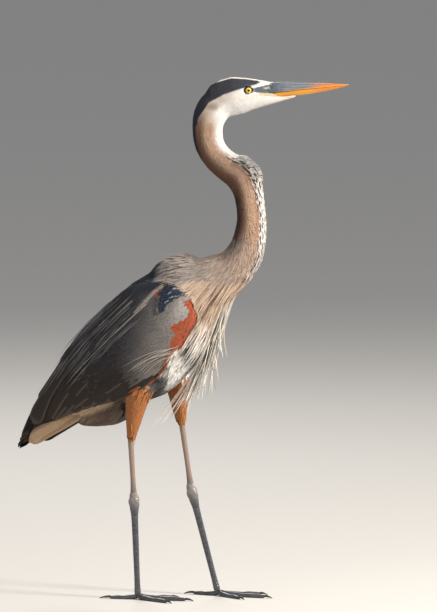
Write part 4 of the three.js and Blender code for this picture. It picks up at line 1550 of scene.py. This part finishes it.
def scutes(a, b, t, at):
    """Plates down the front of the shank, and the knobs of the hock."""
    front = ease(-b / at[:, 4], -0.2, 0.6)
    run = t * 200
    lift = 1 + 0.055 * front * ((run / SCUTE_STEP) % 1 - 0.5)
    knob = 1 + 0.05 * np.sin(5 * np.arctan2(b, a) + run / 2.6) * within(t, 0.84, 1.0, 0.03)
    return a * lift * knob, b * lift * knob


def add_leg(side):
    hock, top = shin_line(side)
    shape, points = carried_sphere(along(foot_place(side), hock, TARSUS_GIRTHS), 28, 190, 0.05, scutes)
    high = ease(points[:, 2], 0.84 * hock[2], hock[2])
    rng = np.random.default_rng(151)
    # Painted highlights: pale bluish flecks scattered over the lower shank.
    painted_glints = 0.5 * (rng.random(len(points)) > 0.82) * (1 - high)
    base = toward(toward(TARSUS_DARK, HOCK_GREY, high), TARSUS_GLINT, painted_glints)
    put_on(made("tarsus_scales_" + side, shape, points, base), SCALES, "leg_scales", "tarsus_" + side)
    stations = [(*(hock - [0, 0, 3]), 5, 7)] + along(hock, top, SHIN_GIRTHS)
    shape, points = carried_sphere(stations, 28, 110, 0.04)
    base = toward(SHIN_GREY, SHIN_PINK, ease(points[:, 2], hock[2], hock[2] + 50))
    put_on(made("shin_skin_" + side, shape, points, base), SHIN_SKIN, "shin_skin", "shin_" + side)
    for digit, toe in TOES.items():
        add_toe(side, digit, toe)


def add_toe(side, digit, toe):
    turn = math.radians(SIDES[side] * toe["splay"])
    size, nail = TOE_RADIUS * toe["girth"], toe["nail"]
    start = foot_place(side)
    way = np.array([math.cos(turn), math.sin(turn), 0])

    def pads(a, b, t, at):
        step = (t * toe["length"] / PAD_STEP) % 1
        return a, b * (1 + 0.05 * (step - 0.5) * ease(b / at[:, 4], 0, 0.6))

    def part(kind, finish, slot, stations, colour, *sphere):
        shape, points = carried_sphere(stations, *sphere)
        points[:, 2] = np.maximum(points[:, 2], FLOOR_GAP)
        name = f"{kind}_{'scales' if kind == 'toe' else 'horn'}_{side}_{digit}"
        piece = made(name, shape, points, np.tile(colour, (len(points), 1)))
        put_on(piece, finish, slot, f"{kind}_{side}_{digit}")

    length = way * toe["length"]
    stations = [(*(start + length * s + [0, 0, z * size]), w * size, h * size) for s, z, w, h in TOE_GIRTHS]
    part("toe", SCALES, "leg_scales", stations, TARSUS_DARK, 24, 90, 0.06, pads)
    bends = [(-4, 3.4, 2.1), (3, 4.2, 2.2), (0.6 * nail, 3, 1.5), (nail, 0.7, 0.6)]
    stations = [(*(start + way * (toe["length"] + s) + [0, 0, z]), 0.8 * w, w) for s, z, w in bends]
    part("claw", CLAW_HORN, "claw", stations, CLAW_BLACK, 16, 24, 0.05)


for side in SIDES:
    add_leg(side)

bpy.data.objects.remove(form)

# ---- Camera, light and floor ----------------------------------------------------------------------------

CAMERA_TURN, CAMERA_RISE = math.radians(20), math.radians(6)
CAMERA_RANGE = 30.0
IMAGE_TALL_MM = 612 * 1.85
SENSOR = 36.0
# Seen from the camera, how far the place it looks at lies to the right of the bird's origin, above it
# and in front of it.
AIM_RIGHT, AIM_UP, AIM_AHEAD = 126.7, 538.35, 75.0
LIGHTS_AIM = (0, 0, 0.55)


def aim_camera():
    a, e = CAMERA_TURN, CAMERA_RISE
    back = Vector((math.sin(a) * math.cos(e), -math.cos(a) * math.cos(e), math.sin(e)))
    right = Vector((math.cos(a), math.sin(a), 0))
    up = back.cross(right)
    target = Vector(in_frame(np.array(right * AIM_RIGHT + up * AIM_UP + back * AIM_AHEAD)))
    data = bpy.data.cameras.new("Camera")
    data.sensor_width = SENSOR
    data.lens = SENSOR * CAMERA_RANGE / (IMAGE_TALL_MM * MM)
    camera = bpy.data.objects.new("Camera", data)
    turned = Matrix((right, up, back)).transposed().to_4x4()
    camera.matrix_world = Matrix.Translation(target + back * CAMERA_RANGE) @ turned
    bpy.context.scene.collection.objects.link(camera)
    bpy.context.scene.camera = camera


def softbox(name, place, size, power, colour):
    data = bpy.data.lights.new(name, "AREA")
    data.shape = "DISK"
    data.size = size
    data.energy = power
    data.color = colour
    light = bpy.data.objects.new(name, data)
    light.location = place
    light.rotation_euler = (Vector(LIGHTS_AIM) - Vector(place)).to_track_quat("-Z", "Y").to_euler()
    bpy.context.scene.collection.objects.link(light)


FLOOR_GREY, FLOOR_RADIUS = (0.62, 0.6, 0.57, 1), 30


def lay_floor():
    shape = bmesh.new()
    bmesh.ops.create_circle(shape, cap_ends=True, segments=96, radius=FLOOR_RADIUS)
    mesh = bpy.data.meshes.new("floor")
    shape.to_mesh(mesh)
    shape.free()
    mesh.materials.append(grained("Pale floor", 0.7, 30.0, 0.04, colour=FLOOR_GREY))
    linked(mesh, "floor")


def light_room():
    world = bpy.data.worlds.new("Room")
    world.use_nodes = True
    backdrop = world.node_tree.nodes["Background"]
    backdrop.inputs["Color"].default_value = (0.78, 0.8, 0.84, 1)
    backdrop.inputs["Strength"].default_value = 0.42
    bpy.context.scene.world = world
    softbox("key", (3.1, -0.4, 2.5), 0.9, 225, (1.0, 0.93, 0.83))
    softbox("fill", (-1.4, -3.6, 1.6), 2.6, 40, (0.92, 0.96, 1.0))
    softbox("rim", (-1.6, 2.6, 2.8), 1.6, 60, (1.0, 0.97, 0.93))


aim_camera()
lay_floor()
light_room()
bpy.context.scene.view_settings.view_transform = "Standard"
